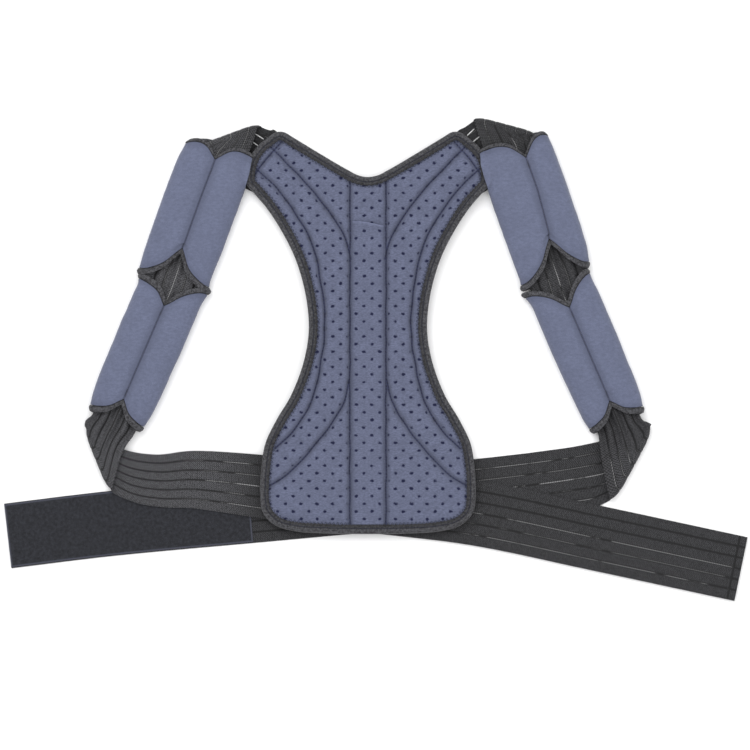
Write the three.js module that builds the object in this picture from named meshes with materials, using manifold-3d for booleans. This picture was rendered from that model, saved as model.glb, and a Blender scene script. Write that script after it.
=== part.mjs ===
// A posture corrector laid flat, seen from the side that faces away from the wearer's back.
// Millimetres, +Z up, +X to the right belt end, +Y to the neck. Angles are in degrees.
import * as THREE from "three";
import { mergeVertices } from "three/addons/utils/BufferGeometryUtils.js";
import Module from "manifold-3d";

// Room left between two pieces that touch
const touchGap = 0.3;

// Back panel, an hourglass
const panelHeight = 436;
const neckDepth = 50;
const neckTipHalf = 95;
const cornerHalf = 132;
const cornerDrop = 63;
const waistHalf = 64;
const waistHeight = 232;
const hipHalf = 116;
const hipHeight = 50;
const panelThickness = 7;
const panelRound = 2.4;
const seamWidth = 4.5;
const seamDepth = 2.4;
const channelHalf = 19.4;
const channelTop = 386;

// Binding round the panel
const bindingWidth = 9.7;
const bindingThickness = 1.3;

// Stay pocket on the centre channel
const pocketTop = 335;
const pocketThickness = 1.2;

// Straps of ribbed webbing and their two closure patches
const strapWidth = 70;
const strapThickness = 1.8;
const strapTuck = 42;
const tuckWidth = 56;
const bunchedWidth = 50;
const patchThickness = 1.5;
const loopPatchLength = 262;
const loopPatchWidth = 68;
const hookPatchLength = 66;
const hookPatchWidth = 56;
const crossHeight = 37;
const padGrip = 10;
const dropBefore = 4;
const dropRun = 64;

// Shoulder pads
const padWidth = 76;
const padHeight = 20;
const padWall = 5.4;
const padSideWall = 4.4;
const padClear = 0.8;
const padBindingLength = 5.6;
const upperPadLength = 132;
const lowerPadLength = 146;
const padEndGap = 0.7;
const padShareAtCorner = 0.915;

// How each side lies: lengths in mm, angles in degrees
const sides = {
  right: {
    sign: 1,
    exitAngle: 43,
    topFoldWidth: 60,
    topFoldShift: 5,
    topRun: 20,
    upperTilt: 16.8,
    lowerTilt: 23,
    padGap: 22,
    tail: 49,
    tailTilt: 20.3,
    beltStart: 12.5,
    foldWidth: 69,
  },
  left: {
    sign: -1,
    exitAngle: 31,
    topFoldWidth: 54,
    topFoldShift: 9,
    topRun: 19,
    upperTilt: 18,
    lowerTilt: 23,
    padGap: 10,
    tail: 47,
    tailTilt: 25.6,
    beltStart: 20,
    foldWidth: 56,
  },
};

// How far each belt end reaches from the middle, and its height there above the panel's lowest edge
const leftReach = 387.5;
const leftEndHeight = -1.6;
const rightReach = 401;
const rightEndHeight = -37.4;

// Levels of the stacked layers, from the surface up
const belowLevel = strapThickness / 2;
const patchLevel = strapThickness + touchGap;
const aboveLevel = 1.5 * strapThickness + touchGap;
const overPatchLevel = patchLevel + patchThickness + touchGap + strapThickness / 2;
const bindingBottom = overPatchLevel + strapThickness / 2 + touchGap;
const panelBottom = bindingBottom + bindingThickness + touchGap;
const panelTop = panelBottom + panelThickness;
const padMiddle = padHeight / 2;

const radians = THREE.MathUtils.degToRad;
const mix = THREE.MathUtils.lerp;
const smooth = (share) => THREE.MathUtils.smoothstep(share, 0, 1);

// Outline tables, right half. Shares: across of the named half widths, down or up of the named heights.
const neckTable = [
  { across: 0, down: 1 },
  { across: 0.114, down: 0.96 },
  { across: 0.227, down: 0.85 },
  { across: 0.421, down: 0.636 },
  { across: 0.637, down: 0.388 },
  { across: 0.85, down: 0.14 },
  { across: 0.96, down: 0.02 },
];
const cornerTable = [
  { across: 0.12, down: 0.02 },
  { across: 0.378, down: 0.12 },
  { across: 0.643, down: 0.25 },
  { across: 0.876, down: 0.45 },
  { across: 0.99, down: 0.7 },
  { across: 0.97, down: 0.92 },
];
const flankTable = [
  { across: 0.87, down: 0.03 },
  { across: 0.68, down: 0.137 },
  { across: 0.441, down: 0.313 },
  { across: 0.218, down: 0.528 },
  { across: 0.065, down: 0.775 },
  { across: 0, down: 1 },
];
const hipTable = [
  { across: 0.01, down: 0.12 },
  { across: 0.125, down: 0.28 },
  { across: 0.37, down: 0.46 },
  { across: 0.65, down: 0.595 },
  { across: 0.885, down: 0.735 },
  { across: 0.96, down: 0.845 },
  { across: 1, down: 1 },
];
const hemTable = [
  { across: 0.996, up: 0.7 },
  { across: 0.98, up: 0.5 },
  { across: 0.935, up: 0.33 },
  { across: 0.838, up: 0.162 },
  { across: 0.652, up: 0.054 },
  { across: 0.326, up: 0.01 },
  { across: 0, up: 0 },
];

// The outline's points down the right half, from the neck's middle to the hem's middle
function halfOutline() {
  const armTip = panelHeight - cornerDrop;
  return [
    ...neckTable.map((p) => [p.across * neckTipHalf, panelHeight - p.down * neckDepth]),
    ...cornerTable.map((p) => [
      mix(neckTipHalf, cornerHalf, p.across),
      panelHeight - p.down * cornerDrop,
    ]),
    ...flankTable.map((p) => [
      mix(waistHalf, cornerHalf, p.across),
      mix(armTip, waistHeight, p.down),
    ]),
    ...hipTable.map((p) => [mix(waistHalf, hipHalf, p.across), mix(waistHeight, hipHeight, p.down)]),
    ...hemTable.map((p) => [p.across * hipHalf, p.up * hipHeight]),
  ];
}

// The whole outline, anticlockwise, smoothed through its points
function wholeOutline(stepsPerSpan) {
  const right = halfOutline().reverse();
  const left = right.slice(1, -1).reverse();
  const points = [
    ...right.map(([x, y]) => new THREE.Vector3(x, y, 0)),
    ...left.map(([x, y]) => new THREE.Vector3(-x, y, 0)),
  ];
  const curve = new THREE.CatmullRomCurve3(points, true, "centripetal");
  return curve.getPoints(points.length * stepsPerSpan).slice(0, -1);
}

const outline = wholeOutline(2);

// The unit normals of the closed outline, pointing inwards
const inward = outline.map((point, i) => {
  const before = outline.at(i - 1);
  const after = outline[(i + 1) % outline.length];
  return new THREE.Vector3(before.y - after.y, after.x - before.x, 0).normalize();
});

const insetOutline = (inset) => outline.map((p, i) => p.clone().addScaledVector(inward[i], inset));

// A closed surface from points and triangles, turned so that its faces point out
function closedGeometry(points, triangles) {
  const volume = triangles.reduce(
    (sum, [a, b, c]) => sum + points[a].dot(points[b].clone().cross(points[c])),
    0,
  );
  const index = triangles.flatMap(([a, b, c]) => (volume < 0 ? [a, c, b] : [a, b, c]));
  return new THREE.BufferGeometry().setFromPoints(points).setIndex(index);
}

// The thick sheet between two grids of points, rows of equal length: both faces and the four edges
function sheetBetween(upper, lower) {
  const rows = upper.length;
  const columns = upper[0].length;
  const points = [...upper.flat(), ...lower.flat()];
  const top = (r, c) => r * columns + c;
  const bottom = (r, c) => rows * columns + top(r, c);
  const triangles = [];
  const quad = (a, b, c, d) => triangles.push([a, b, c], [a, c, d]);
  for (let r = 0; r < rows - 1; r++) {
    for (let c = 0; c < columns - 1; c++) {
      quad(top(r, c), top(r, c + 1), top(r + 1, c + 1), top(r + 1, c));
      quad(bottom(r, c), bottom(r + 1, c), bottom(r + 1, c + 1), bottom(r, c + 1));
    }
    quad(top(r, 0), top(r + 1, 0), bottom(r + 1, 0), bottom(r, 0));
    const last = columns - 1;
    quad(top(r + 1, last), top(r, last), bottom(r, last), bottom(r + 1, last));
  }
  for (let c = 0; c < columns - 1; c++) {
    quad(top(0, c), bottom(0, c), bottom(0, c + 1), top(0, c + 1));
    const last = rows - 1;
    quad(top(last, c), top(last, c + 1), bottom(last, c + 1), bottom(last, c));
  }
  return closedGeometry(points, triangles);
}

// A section of the same number of points carried round a closed loop
function closedSweep(rings) {
  const size = rings[0].length;
  const triangles = [];
  rings.forEach((_, r) => {
    const next = (r + 1) % rings.length;
    for (let c = 0; c < size; c++) {
      const d = (c + 1) % size;
      triangles.push([r * size + c, r * size + d, next * size + d]);
      triangles.push([r * size + c, next * size + d, next * size + c]);
    }
  });
  return closedGeometry(rings.flat(), triangles);
}

const wasm = await Module();
wasm.setup();

function toSolid(geometry) {
  const bare = geometry.clone();
  bare.deleteAttribute("normal");
  bare.deleteAttribute("uv");
  const merged = mergeVertices(bare);
  return new wasm.Manifold(
    new wasm.Mesh({
      numProp: 3,
      vertProperties: merged.attributes.position.array,
      triVerts: Uint32Array.from(merged.index.array),
    }),
  );
}

function toGeometry(solid) {
  const mesh = solid.getMesh();
  return new THREE.BufferGeometry()
    .setAttribute("position", new THREE.BufferAttribute(mesh.vertProperties, 3))
    .setIndex(new THREE.BufferAttribute(mesh.triVerts, 1));
}

// Quilting seams, right half: across is a share of the panel's half span at that height, up of its height
const seamTables = {
  upper: [
    { across: 0.81, up: 0.965 },
    { across: 0.6, up: 0.9 },
    { across: 0.445, up: 0.846 },
    { across: 0.32, up: 0.783 },
    { across: 0.235, up: 0.736 },
    { across: 0.19, up: 0.68 },
  ],
  long: [
    { across: 0.915, up: 0.906 },
    { across: 0.737, up: 0.853 },
    { across: 0.661, up: 0.796 },
    { across: 0.605, up: 0.745 },
    { across: 0.58, up: 0.688 },
    { across: 0.61, up: 0.624 },
    { across: 0.69, up: 0.55 },
    { across: 0.667, up: 0.477 },
    { across: 0.655, up: 0.408 },
    { across: 0.664, up: 0.344 },
    { across: 0.733, up: 0.291 },
    { across: 0.83, up: 0.249 },
    { across: 0.95, up: 0.211 },
  ],
  lower: [
    { across: 0.243, up: 0.381 },
    { across: 0.29, up: 0.326 },
    { across: 0.41, up: 0.271 },
    { across: 0.555, up: 0.218 },
    { across: 0.7, up: 0.169 },
    { across: 0.8, up: 0.14 },
    { across: 0.93, up: 0.116 },
  ],
  corner: [
    { across: 0.71, up: 0.973 },
    { across: 0.86, up: 0.92 },
    { across: 0.975, up: 0.87 },
  ],
};

// The panel's half span used by the seams: straight from hip to waist to corner
function halfSpan(y) {
  const shoulder = panelHeight - cornerDrop;
  if (y < waistHeight) {
    return mix(hipHalf, waistHalf, Math.max(y - hipHeight, 0) / (waistHeight - hipHeight));
  }
  return mix(waistHalf, cornerHalf, Math.min((y - waistHeight) / (shoulder - waistHeight), 1));
}

// How far the groove's cutter stands above the panel, and how thick its edges are
const cutRise = 1;
const cutEdge = 0.01;

// A V-shaped groove along a line on the panel's top
function grooveAlong(line) {
  const rows = line.map((point, i) => {
    const before = line[Math.max(i - 1, 0)];
    const after = line[Math.min(i + 1, line.length - 1)];
    const across = new THREE.Vector3(before.y - after.y, after.x - before.x, 0).normalize();
    const at = (offset, z) => new THREE.Vector3(point.x, point.y, z).addScaledVector(across, offset);
    const above = panelTop + cutRise;
    const half = (seamWidth / 2) * (1 + cutRise / seamDepth);
    return {
      upper: [at(-half, above), at(0, above), at(half, above)],
      lower: [at(-half, above - cutEdge), at(0, panelTop - seamDepth), at(half, above - cutEdge)],
    };
  });
  return sheetBetween(
    rows.map((row) => row.upper),
    rows.map((row) => row.lower),
  );
}

function seamLine(table, sign) {
  const points = table.map((p) => {
    const y = p.up * panelHeight;
    return new THREE.Vector3(sign * p.across * halfSpan(y), y, 0);
  });
  return new THREE.CatmullRomCurve3(points, false, "centripetal").getPoints(points.length - 1);
}

function makePanel() {
  const edge = insetOutline(bindingThickness + touchGap).map((p) => new THREE.Vector2(p.x, p.y));
  let panel = toSolid(
    new THREE.ExtrudeGeometry(new THREE.Shape(edge), {
      depth: panelThickness - 2 * panelRound,
      bevelThickness: panelRound,
      bevelSize: panelRound,
      bevelOffset: -panelRound,
      bevelSegments: 2,
    }).translate(0, 0, panelBottom + panelRound),
  );
  const lines = [1, -1].flatMap((sign) => [
    ...Object.values(seamTables).map((table) => seamLine(table, sign)),
    [
      new THREE.Vector3(sign * channelHalf, bindingWidth, 0),
      new THREE.Vector3(sign * channelHalf, channelTop, 0),
    ],
  ]);
  for (const line of lines) panel = panel.subtract(toSolid(grooveAlong(line)));
  return toGeometry(panel);
}

// The binding's U section: lip under the panel, outer wall, lip on top
function makePanelBinding() {
  const lipTop = panelTop + touchGap + bindingThickness;
  const section = [
    [bindingWidth, bindingBottom],
    [0, bindingBottom],
    [0, lipTop - bindingThickness],
    [bindingThickness, lipTop],
    [bindingWidth, lipTop],
    [bindingWidth, lipTop - bindingThickness],
    [bindingThickness, lipTop - bindingThickness],
    [bindingThickness, bindingBottom + bindingThickness],
    [bindingWidth, bindingBottom + bindingThickness],
  ];
  const rings = outline.map((point, i) =>
    section.map(([inset, z]) => {
      const at = point.clone().addScaledVector(inward[i], inset);
      return at.setZ(z);
    }),
  );
  return closedSweep(rings);
}

// The pocket layer between the channel seams, its free top edge a shallow wave
function makePocket() {
  const half = channelHalf - seamWidth / 2 - touchGap;
  const bottom = bindingWidth + touchGap;
  const wave = [0.4, -0.5, -1, -0.2, 1];
  const layer = (z) =>
    [0, 0.5, 1].map((up) =>
      wave.map((lift, i) => {
        const x = mix(-half, half, i / (wave.length - 1));
        return new THREE.Vector3(x, mix(bottom, pocketTop, up) + lift * 2 * up, z);
      }),
    );
  const z = panelTop + touchGap;
  return sheetBetween(layer(z + pocketThickness), layer(z));
}

// Straps. A side is laid out as if it were the right one, x outwards, and mirrored at the end.
const heading = (tilt) => new THREE.Vector3(Math.sin(radians(tilt)), -Math.cos(radians(tilt)), 0);
const along = (point, direction, length) => point.clone().addScaledVector(direction, length);
const leftOf = (direction) => new THREE.Vector3(-direction.y, direction.x, 0);

// Where the strap leaves the corner, folds, enters and leaves its pads, and folds again
function layOut(side) {
  const tip = new THREE.Vector3(mix(neckTipHalf, cornerHalf, 0.5), panelHeight - cornerDrop / 2, 0);
  const exit = new THREE.Vector3(
    Math.cos(radians(side.exitAngle)),
    Math.sin(radians(side.exitAngle)),
    0,
  );
  const down = heading(side.upperTilt);
  const outward = leftOf(down);
  const reach = Math.max(...outline.map((point) => point.dot(outward)));
  const axis = reach + padClear + (padWidth / 2) * padShareAtCorner;
  const exitLength = (axis - tip.dot(outward)) / exit.dot(outward);
  const topFold = along(tip, exit, exitLength);
  const upperTop = along(topFold, down, side.topRun);
  const upperEnd = along(upperTop, down, upperPadLength + 2 * padBindingLength);
  const lowerDown = heading(side.lowerTilt);
  const lowerTop = along(upperEnd, down, side.padGap);
  const lowerEnd = along(lowerTop, lowerDown, lowerPadLength + 2 * padBindingLength);
  const tail = heading(side.tailTilt);
  const lowFold = along(lowerEnd, tail, side.tail);
  const belt = new THREE.Vector3(
    -Math.cos(radians(side.beltStart)),
    -Math.sin(radians(side.beltStart)),
    0,
  );
  return {
    ...{ tip, exit, down, topFold, upperTop, upperEnd },
    ...{ lowerDown, lowerTop, lowerEnd, tail, lowFold, belt },
  };
}

const places = { right: layOut(sides.right), left: layOut(sides.left) };

// One cross row of a strap: middle, unit vector along the row, face vector, row length and pleat depth
function row(middle, z, across, face, width, pleat = 0) {
  return { middle: middle.clone().setZ(z), across, face, width, pleat };
}

const upward = new THREE.Vector3(0, 0, 1);
const downward = new THREE.Vector3(0, 0, -1);

// The pleat depth that takes a strap of its full width into a narrower one
const pleats = 4;
function pleatDepth(width) {
  const fold = strapWidth / (2 * pleats);
  const seen = Math.min(width / (2 * pleats), fold);
  return Math.sqrt(fold * fold - seen * seen);
}

const foldSteps = 5;

// The rows of a fold: half a turn about the fold line, from one level to the other
function foldRows(centre, from, to, startZ, endZ, width, startFace) {
  const line = from.clone().add(to).normalize();
  const out = leftOf(line);
  if (out.dot(from) < 0) out.negate();
  const across = out.clone().cross(upward);
  if (across.dot(line) < 0) across.negate();
  const radius = Math.abs(endZ - startZ) / 2;
  const rowLength = width / Math.abs(from.clone().cross(line).z);
  const rise = Math.sign(endZ - startZ);
  const face = startFace.z;
  return Array.from({ length: foldSteps + 1 }, (_, step) => {
    const turn = (Math.PI * step) / foldSteps;
    const middle = along(centre, out, radius * (Math.sin(turn) - 1));
    const z = (startZ + endZ) / 2 - rise * radius * Math.cos(turn);
    const normal = new THREE.Vector3(0, 0, Math.cos(turn) * face);
    normal.addScaledVector(out, -Math.sin(turn) * rise * face);
    return row(middle, z, line, normal, rowLength);
  });
}

// Rows from one to another, their ends and faces blended
function between(first, last, shares) {
  return shares.map((share) => {
    const ease = smooth(share);
    const across = first.across.clone().lerp(last.across, ease).normalize();
    const middle = first.middle.clone().lerp(last.middle, share);
    const z = mix(first.middle.z, last.middle.z, ease);
    const width = mix(first.width, last.width, ease);
    return row(middle, z, across, first.face, width, mix(first.pleat, last.pleat, ease));
  });
}

// The strap of one side from its sewn end to its lower fold
function shoulderRows(side, place, beltZ) {
  const exitRow = leftOf(place.exit);
  const start = row(along(place.tip, place.exit, -strapTuck), overPatchLevel, exitRow, upward, tuckWidth);
  const atCorner = row(place.tip, belowLevel, exitRow, upward, strapWidth);
  const foldLine = place.exit.clone().add(place.down).normalize();
  const foldCentre = along(place.topFold, foldLine, -side.topFoldShift);
  const topLevels = [belowLevel, padMiddle];
  const top = foldRows(foldCentre, place.exit, place.down, ...topLevels, side.topFoldWidth, upward);
  top.forEach((r) => (r.across = matched(r.across, exitRow)));
  const padRow = (point, run, width) =>
    row(point, padMiddle, matched(leftOf(run), top.at(-1).across), downward, width, pleatDepth(width));
  const gapRow = place.down.clone().add(place.lowerDown).normalize();
  const stops = [
    padRow(place.upperTop, place.down, bunchedWidth),
    padRow(along(place.upperEnd, place.down, -padGrip), place.down, bunchedWidth),
    padRow(along(place.upperEnd, gapRow, side.padGap / 2), gapRow, bunchedWidth),
    padRow(along(place.lowerTop, place.lowerDown, padGrip), place.lowerDown, bunchedWidth),
    padRow(along(place.lowerEnd, place.lowerDown, -padGrip), place.lowerDown, bunchedWidth),
    padRow(along(place.lowerEnd, place.tail, side.tail * 0.12), place.tail, bunchedWidth),
  ];
  const low = foldRows(place.lowFold, place.tail, place.belt, padMiddle, beltZ, side.foldWidth, downward);
  low.forEach((r) => (r.across = matched(r.across, stops.at(-1).across)));
  return [
    start,
    ...between(start, atCorner, [0.5]),
    atCorner,
    ...between(atCorner, top[0], [0.33, 0.67]),
    ...top,
    ...between(top.at(-1), stops[0], [0.5]),
    ...stops,
    ...between(stops.at(-1), low[0], [0.3, 0.65]),
    ...low,
  ];
}

function matched(vector, like) {
  return vector.dot(like) < 0 ? vector.clone().negate() : vector;
}

// Shares of a belt's length by which its rows are square to it and have their full width
const squareShare = 0.2;
const openShare = 1 / 3;
const beltSteps = 20;

// The belt from the lower fold to its end: a smooth line through a few places, level by level
function beltRows(foldRow, points, foldWidth, endWidth, levels) {
  const curve = new THREE.CatmullRomCurve3(points, false, "centripetal");
  const rows = [];
  for (let i = 1; i <= beltSteps; i++) {
    const share = i / beltSteps;
    const middle = curve.getPointAt(share);
    const square = matched(leftOf(curve.getTangentAt(share)), foldRow.across);
    const turned = smooth(Math.min(share / squareShare, 1));
    const across = foldRow.across.clone().lerp(square, turned).normalize();
    const stretch = Math.abs(across.dot(square));
    const opening = mix(foldWidth, strapWidth, smooth(Math.min(share / openShare, 1)));
    const width = mix(opening, endWidth, share);
    rows.push(row(middle, levels(middle.x), across, upward, width / stretch));
  }
  return rows;
}

// A sheet's two faces from its rows, its width cut into the pleats' halves
function ribbon(rows, thickness, sign, columns = 2 * pleats) {
  const face = (offset) =>
    rows.map((r) =>
      Array.from({ length: columns + 1 }, (_, i) => {
        const side = (i / columns - 0.5) * r.width;
          const edge = i === 0 || i === columns;
        const lift = (edge ? 0 : (i % 2) - 0.5) * r.pleat + offset;
        const at = r.middle.clone().addScaledVector(r.across, side).addScaledVector(r.face, lift);
        return at.setX(sign * at.x);
      }),
    );
  return sheetBetween(face(thickness / 2), face(-thickness / 2));
}

// The places that a belt's middle line passes, x towards its own shoulder's side
function beltPoints(place, mids, end) {
  return [
    place.lowFold,
    ...mids.map((m) => {
      const x = m.share >= 0 ? place.lowFold.x * m.share : -m.share * end.x;
      const rise = m.share >= 0 ? place.lowFold.y : end.y;
      return new THREE.Vector3(x, mix(crossHeight, rise, m.rise), 0);
    }),
    end,
  ].map((p) => new THREE.Vector3(p.x, p.y, 0));
}

// Share of the way out to the fold (positive) or to the belt's end (negative), and of the rise to it
const leftStrapMids = [
  { share: 0.8, rise: 0.54 },
  { share: 0.62, rise: 0.5 },
  { share: 0.4, rise: 0.34 },
  { share: 0, rise: 0 },
  { share: -0.29, rise: 0.19 },
  { share: -0.62, rise: 0.56 },
];
const rightStrapMids = [
  { share: 0.85, rise: 0.7 },
  { share: 0.4, rise: 0.24 },
  { share: 0, rise: 0 },
  { share: -0.3, rise: 0.27 },
  { share: -0.72, rise: 0.66 },
];

const leftBelt = beltPoints(
  places.left,
  leftStrapMids,
  new THREE.Vector3(-rightReach, rightEndHeight, 0),
);
const rightBelt = beltPoints(
  places.right,
  rightStrapMids,
  new THREE.Vector3(-leftReach, leftEndHeight, 0),
);

// The left strap lies over the loop patch, then drops behind the panel
const dropStart = hipHalf + dropBefore;
const dropEnd = dropStart - dropRun;
const leftLevels = (x) =>
  mix(aboveLevel, overPatchLevel, THREE.MathUtils.smoothstep(x, dropEnd, dropStart));

const leftShoulder = shoulderRows(sides.left, places.left, overPatchLevel);
const rightShoulder = shoulderRows(sides.right, places.right, belowLevel);
const leftRows = [
  ...leftShoulder,
  ...beltRows(leftShoulder.at(-1), leftBelt, sides.left.foldWidth, strapWidth, leftLevels),
];
const rightRows = [
  ...rightShoulder,
  ...beltRows(rightShoulder.at(-1), rightBelt, sides.right.foldWidth, strapWidth, () => belowLevel),
];

// A patch that follows the last stretch of a belt
function patchOn(belt, length, width, z, sign) {
  const curve = new THREE.CatmullRomCurve3(belt, false, "centripetal");
  const whole = curve.getLength();
  const rows = [0, 0.25, 0.5, 0.75, 1].map((share) => {
    const place = (whole - length * (1 - share) - touchGap) / whole;
    return row(curve.getPointAt(place), z, leftOf(curve.getTangentAt(place)), upward, width);
  });
  return ribbon(rows, patchThickness, sign, 2);
}

// Pads. The wall's section from one lobe's tip round to the other: shares of half width and height.
const padWallTable = [
  { across: 0.012, up: 0.9, inAcross: 0.012, inUp: 1 },
  { across: 0.1, up: 0.95, inAcross: 0.14, inUp: 1 },
  { across: 0.35, up: 1, inAcross: 0.45, inUp: 1 },
  { across: 0.7, up: 0.95, inAcross: 0.82, inUp: 1 },
  { across: 0.92, up: 0.76, inAcross: 0.97, inUp: 0.72 },
  { across: 1, up: 0.48, inAcross: 1, inUp: 0.5 },
  { across: 0.93, up: 0.17, inAcross: 1, inUp: 0.25 },
  { across: 0.76, up: 0, inAcross: 0.86, inUp: 0 },
  { across: 0, up: 0, inAcross: 0, inUp: 0 },
];

// Along a pad: share of its length, of its width and height, and of the notch between its lobes
const padAlongTable = [
  { at: 0, width: 0.95, height: 0.92, notch: 1 },
  { at: 0.05, width: 0.965, height: 0.95, notch: 0.85 },
  { at: 0.13, width: 0.98, height: 1, notch: 0.55 },
  { at: 0.36, width: 1, height: 1, notch: 0 },
  { at: 0.5, width: 1, height: 1, notch: 0 },
  { at: 0.72, width: 1, height: 1, notch: 0 },
  { at: 0.87, width: 0.985, height: 1, notch: 0.55 },
  { at: 0.95, width: 0.97, height: 0.95, notch: 0.85 },
  { at: 1, width: 0.95, height: 0.92, notch: 1 },
];
// How much of the notch each place of the wall's section takes, from the lobe's tip outwards
const notchShare = [1, 0.82, 0.36, 0.08, 0, 0, 0, 0, 0];
const padShapes = {
  upper: {
    length: upperPadLength,
    startWidth: 0.93,
    endWidth: 1.03,
    startNotch: 17,
    endNotch: 27,
    toe: strapThickness + 2 * touchGap,
  },
  lower: {
    length: lowerPadLength,
    startWidth: 0.95,
    endWidth: 0.88,
    startNotch: 18,
    endNotch: 19,
    toe: 0,
  },
};

// One ring of the wall, in the pad's own frame: x across, y back along its length, z up.
// The toe is how far the first stretch's underside is raised over the strap that passes below it.
function padRing(shape, station, rest) {
  const { at } = station;
  const width = padWidth * station.width * mix(shape.startWidth, shape.endWidth, at);
  const lift = Math.max(rest, at < 0.5 ? shape.toe : 0);
  const height = padHeight * station.height;
  const hollow = (padHeight - 2 * padWall) / 2;
  const outer = [];
  const inner = [];
  padWallTable.forEach((p, i) => {
    const notch = at < 0.5 ? shape.startNotch : -shape.endNotch;
    const slide = notch * station.notch * notchShare[i];
    const y = -shape.length * at - slide;
    const half = width / 2;
    const inHalf = half - padSideWall;
    const top = padMiddle + hollow;
    const bottom = padMiddle - hollow;
    outer.push(new THREE.Vector3(p.across * half, y, Math.max(p.up * height, lift)));
    inner.push(new THREE.Vector3(p.inAcross * inHalf, y, mix(bottom, top, p.inUp)));
  });
  const both = (half) => [
    ...half,
    ...half
      .slice(0, -1)
      .reverse()
      .map((v) => new THREE.Vector3(-v.x, v.y, v.z)),
  ];
  return { outer: both(outer), inner: both(inner) };
}

function makePad(shape) {
  const rings = padAlongTable.map((station) => padRing(shape, station, 0));
  return sheetBetween(
    rings.map((ring) => ring.outer),
    rings.map((ring) => ring.inner),
  );
}

// The binding on one end: the wall's end section carried on, with its outer edge turned in
function makePadBinding(shape, atEnd) {
  const station = padAlongTable.at(atEnd ? -1 : 0);
  const forward = atEnd ? -1 : 1;
  const rings = [
    { step: padEndGap, shrink: 1 },
    { step: padBindingLength * 0.6, shrink: 0.985 },
    { step: padBindingLength, shrink: 0.95 },
  ].map(({ step, shrink }) => {
    const ring = padRing(shape, station, touchGap);
    const outer = ring.outer.map(
      (v) => new THREE.Vector3(v.x * shrink, v.y + forward * step, mix(padMiddle, v.z, shrink)),
    );
    const inner = ring.inner.map((v) => new THREE.Vector3(v.x, v.y + forward * step, v.z));
    return { outer, inner };
  });
  return sheetBetween(
    rings.map((ring) => ring.outer),
    rings.map((ring) => ring.inner),
  );
}

// Finishes, as the photograph shows them
const finishes = {
  panelFabric: new THREE.MeshStandardMaterial({ color: 0x6b7089, roughness: 0.95 }),
  padFabric: new THREE.MeshStandardMaterial({ color: 0x6d7289, roughness: 0.95 }),
  binding: new THREE.MeshStandardMaterial({ color: 0x444446, roughness: 0.9 }),
  webbing: new THREE.MeshStandardMaterial({ color: 0x3c3c3f, roughness: 0.8 }),
  loop: new THREE.MeshStandardMaterial({ color: 0x36373c, roughness: 1 }),
  hook: new THREE.MeshStandardMaterial({ color: 0x2a2a2c, roughness: 0.6 }),
};

const group = new THREE.Group();

function add(name, geometry, material, parent = group) {
  const mesh = new THREE.Mesh(geometry, material);
  mesh.name = name;
  parent.add(mesh);
}

add("back_panel", makePanel(), finishes.panelFabric);
add("panel_binding", makePanelBinding(), finishes.binding);
add("stay_pocket", makePocket(), finishes.panelFabric);
add("left_strap", ribbon(leftRows, strapThickness, -1), finishes.webbing);
add("right_strap", ribbon(rightRows, strapThickness, 1), finishes.webbing);
add(
  "loop_patch",
  patchOn(rightBelt, loopPatchLength, loopPatchWidth, patchLevel + patchThickness / 2, 1),
  finishes.loop,
);
add(
  "hook_patch",
  patchOn(leftBelt, hookPatchLength, hookPatchWidth, patchThickness / 2, -1),
  finishes.hook,
);

for (const [name, side] of Object.entries(sides)) {
  const place = places[name];
  const pads = [
    { part: "upper", from: place.upperTop, tilt: side.upperTilt, run: place.down },
    { part: "lower", from: place.lowerTop, tilt: side.lowerTilt, run: place.lowerDown },
  ];
  for (const { part, from, tilt, run } of pads) {
    const seat = new THREE.Group();
    const start = along(from, run, padBindingLength);
    seat.position.set(side.sign * start.x, start.y, 0);
    seat.rotation.z = side.sign * radians(tilt);
    const shape = padShapes[part];
    add(`${name}_${part}_pad`, makePad(shape), finishes.padFabric, seat);
    add(`${name}_${part}_pad_top_binding`, makePadBinding(shape, false), finishes.binding, seat);
    add(`${name}_${part}_pad_end_binding`, makePadBinding(shape, true), finishes.binding, seat);
    group.add(seat);
  }
}

// The origin is the middle of the whole part's footprint, on the surface that it lies on
group.updateMatrixWorld(true);
const box = new THREE.Box3().setFromObject(group, true);
const middle = box.getCenter(new THREE.Vector3());
group.position.set(-middle.x, -middle.y, -box.min.z);

export default group;
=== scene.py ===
"""A posture corrector laid flat on a pale floor, laid out as a Blender add-on.

Every piece is a surface computed with numpy in millimetres, in the brace's own plan: X from the panel's
middle line to the right belt end, Y up from the panel's lowest edge, Z up from the floor. The last step
of each piece moves it to the frame's place and into metres.
"""
import math

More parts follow.
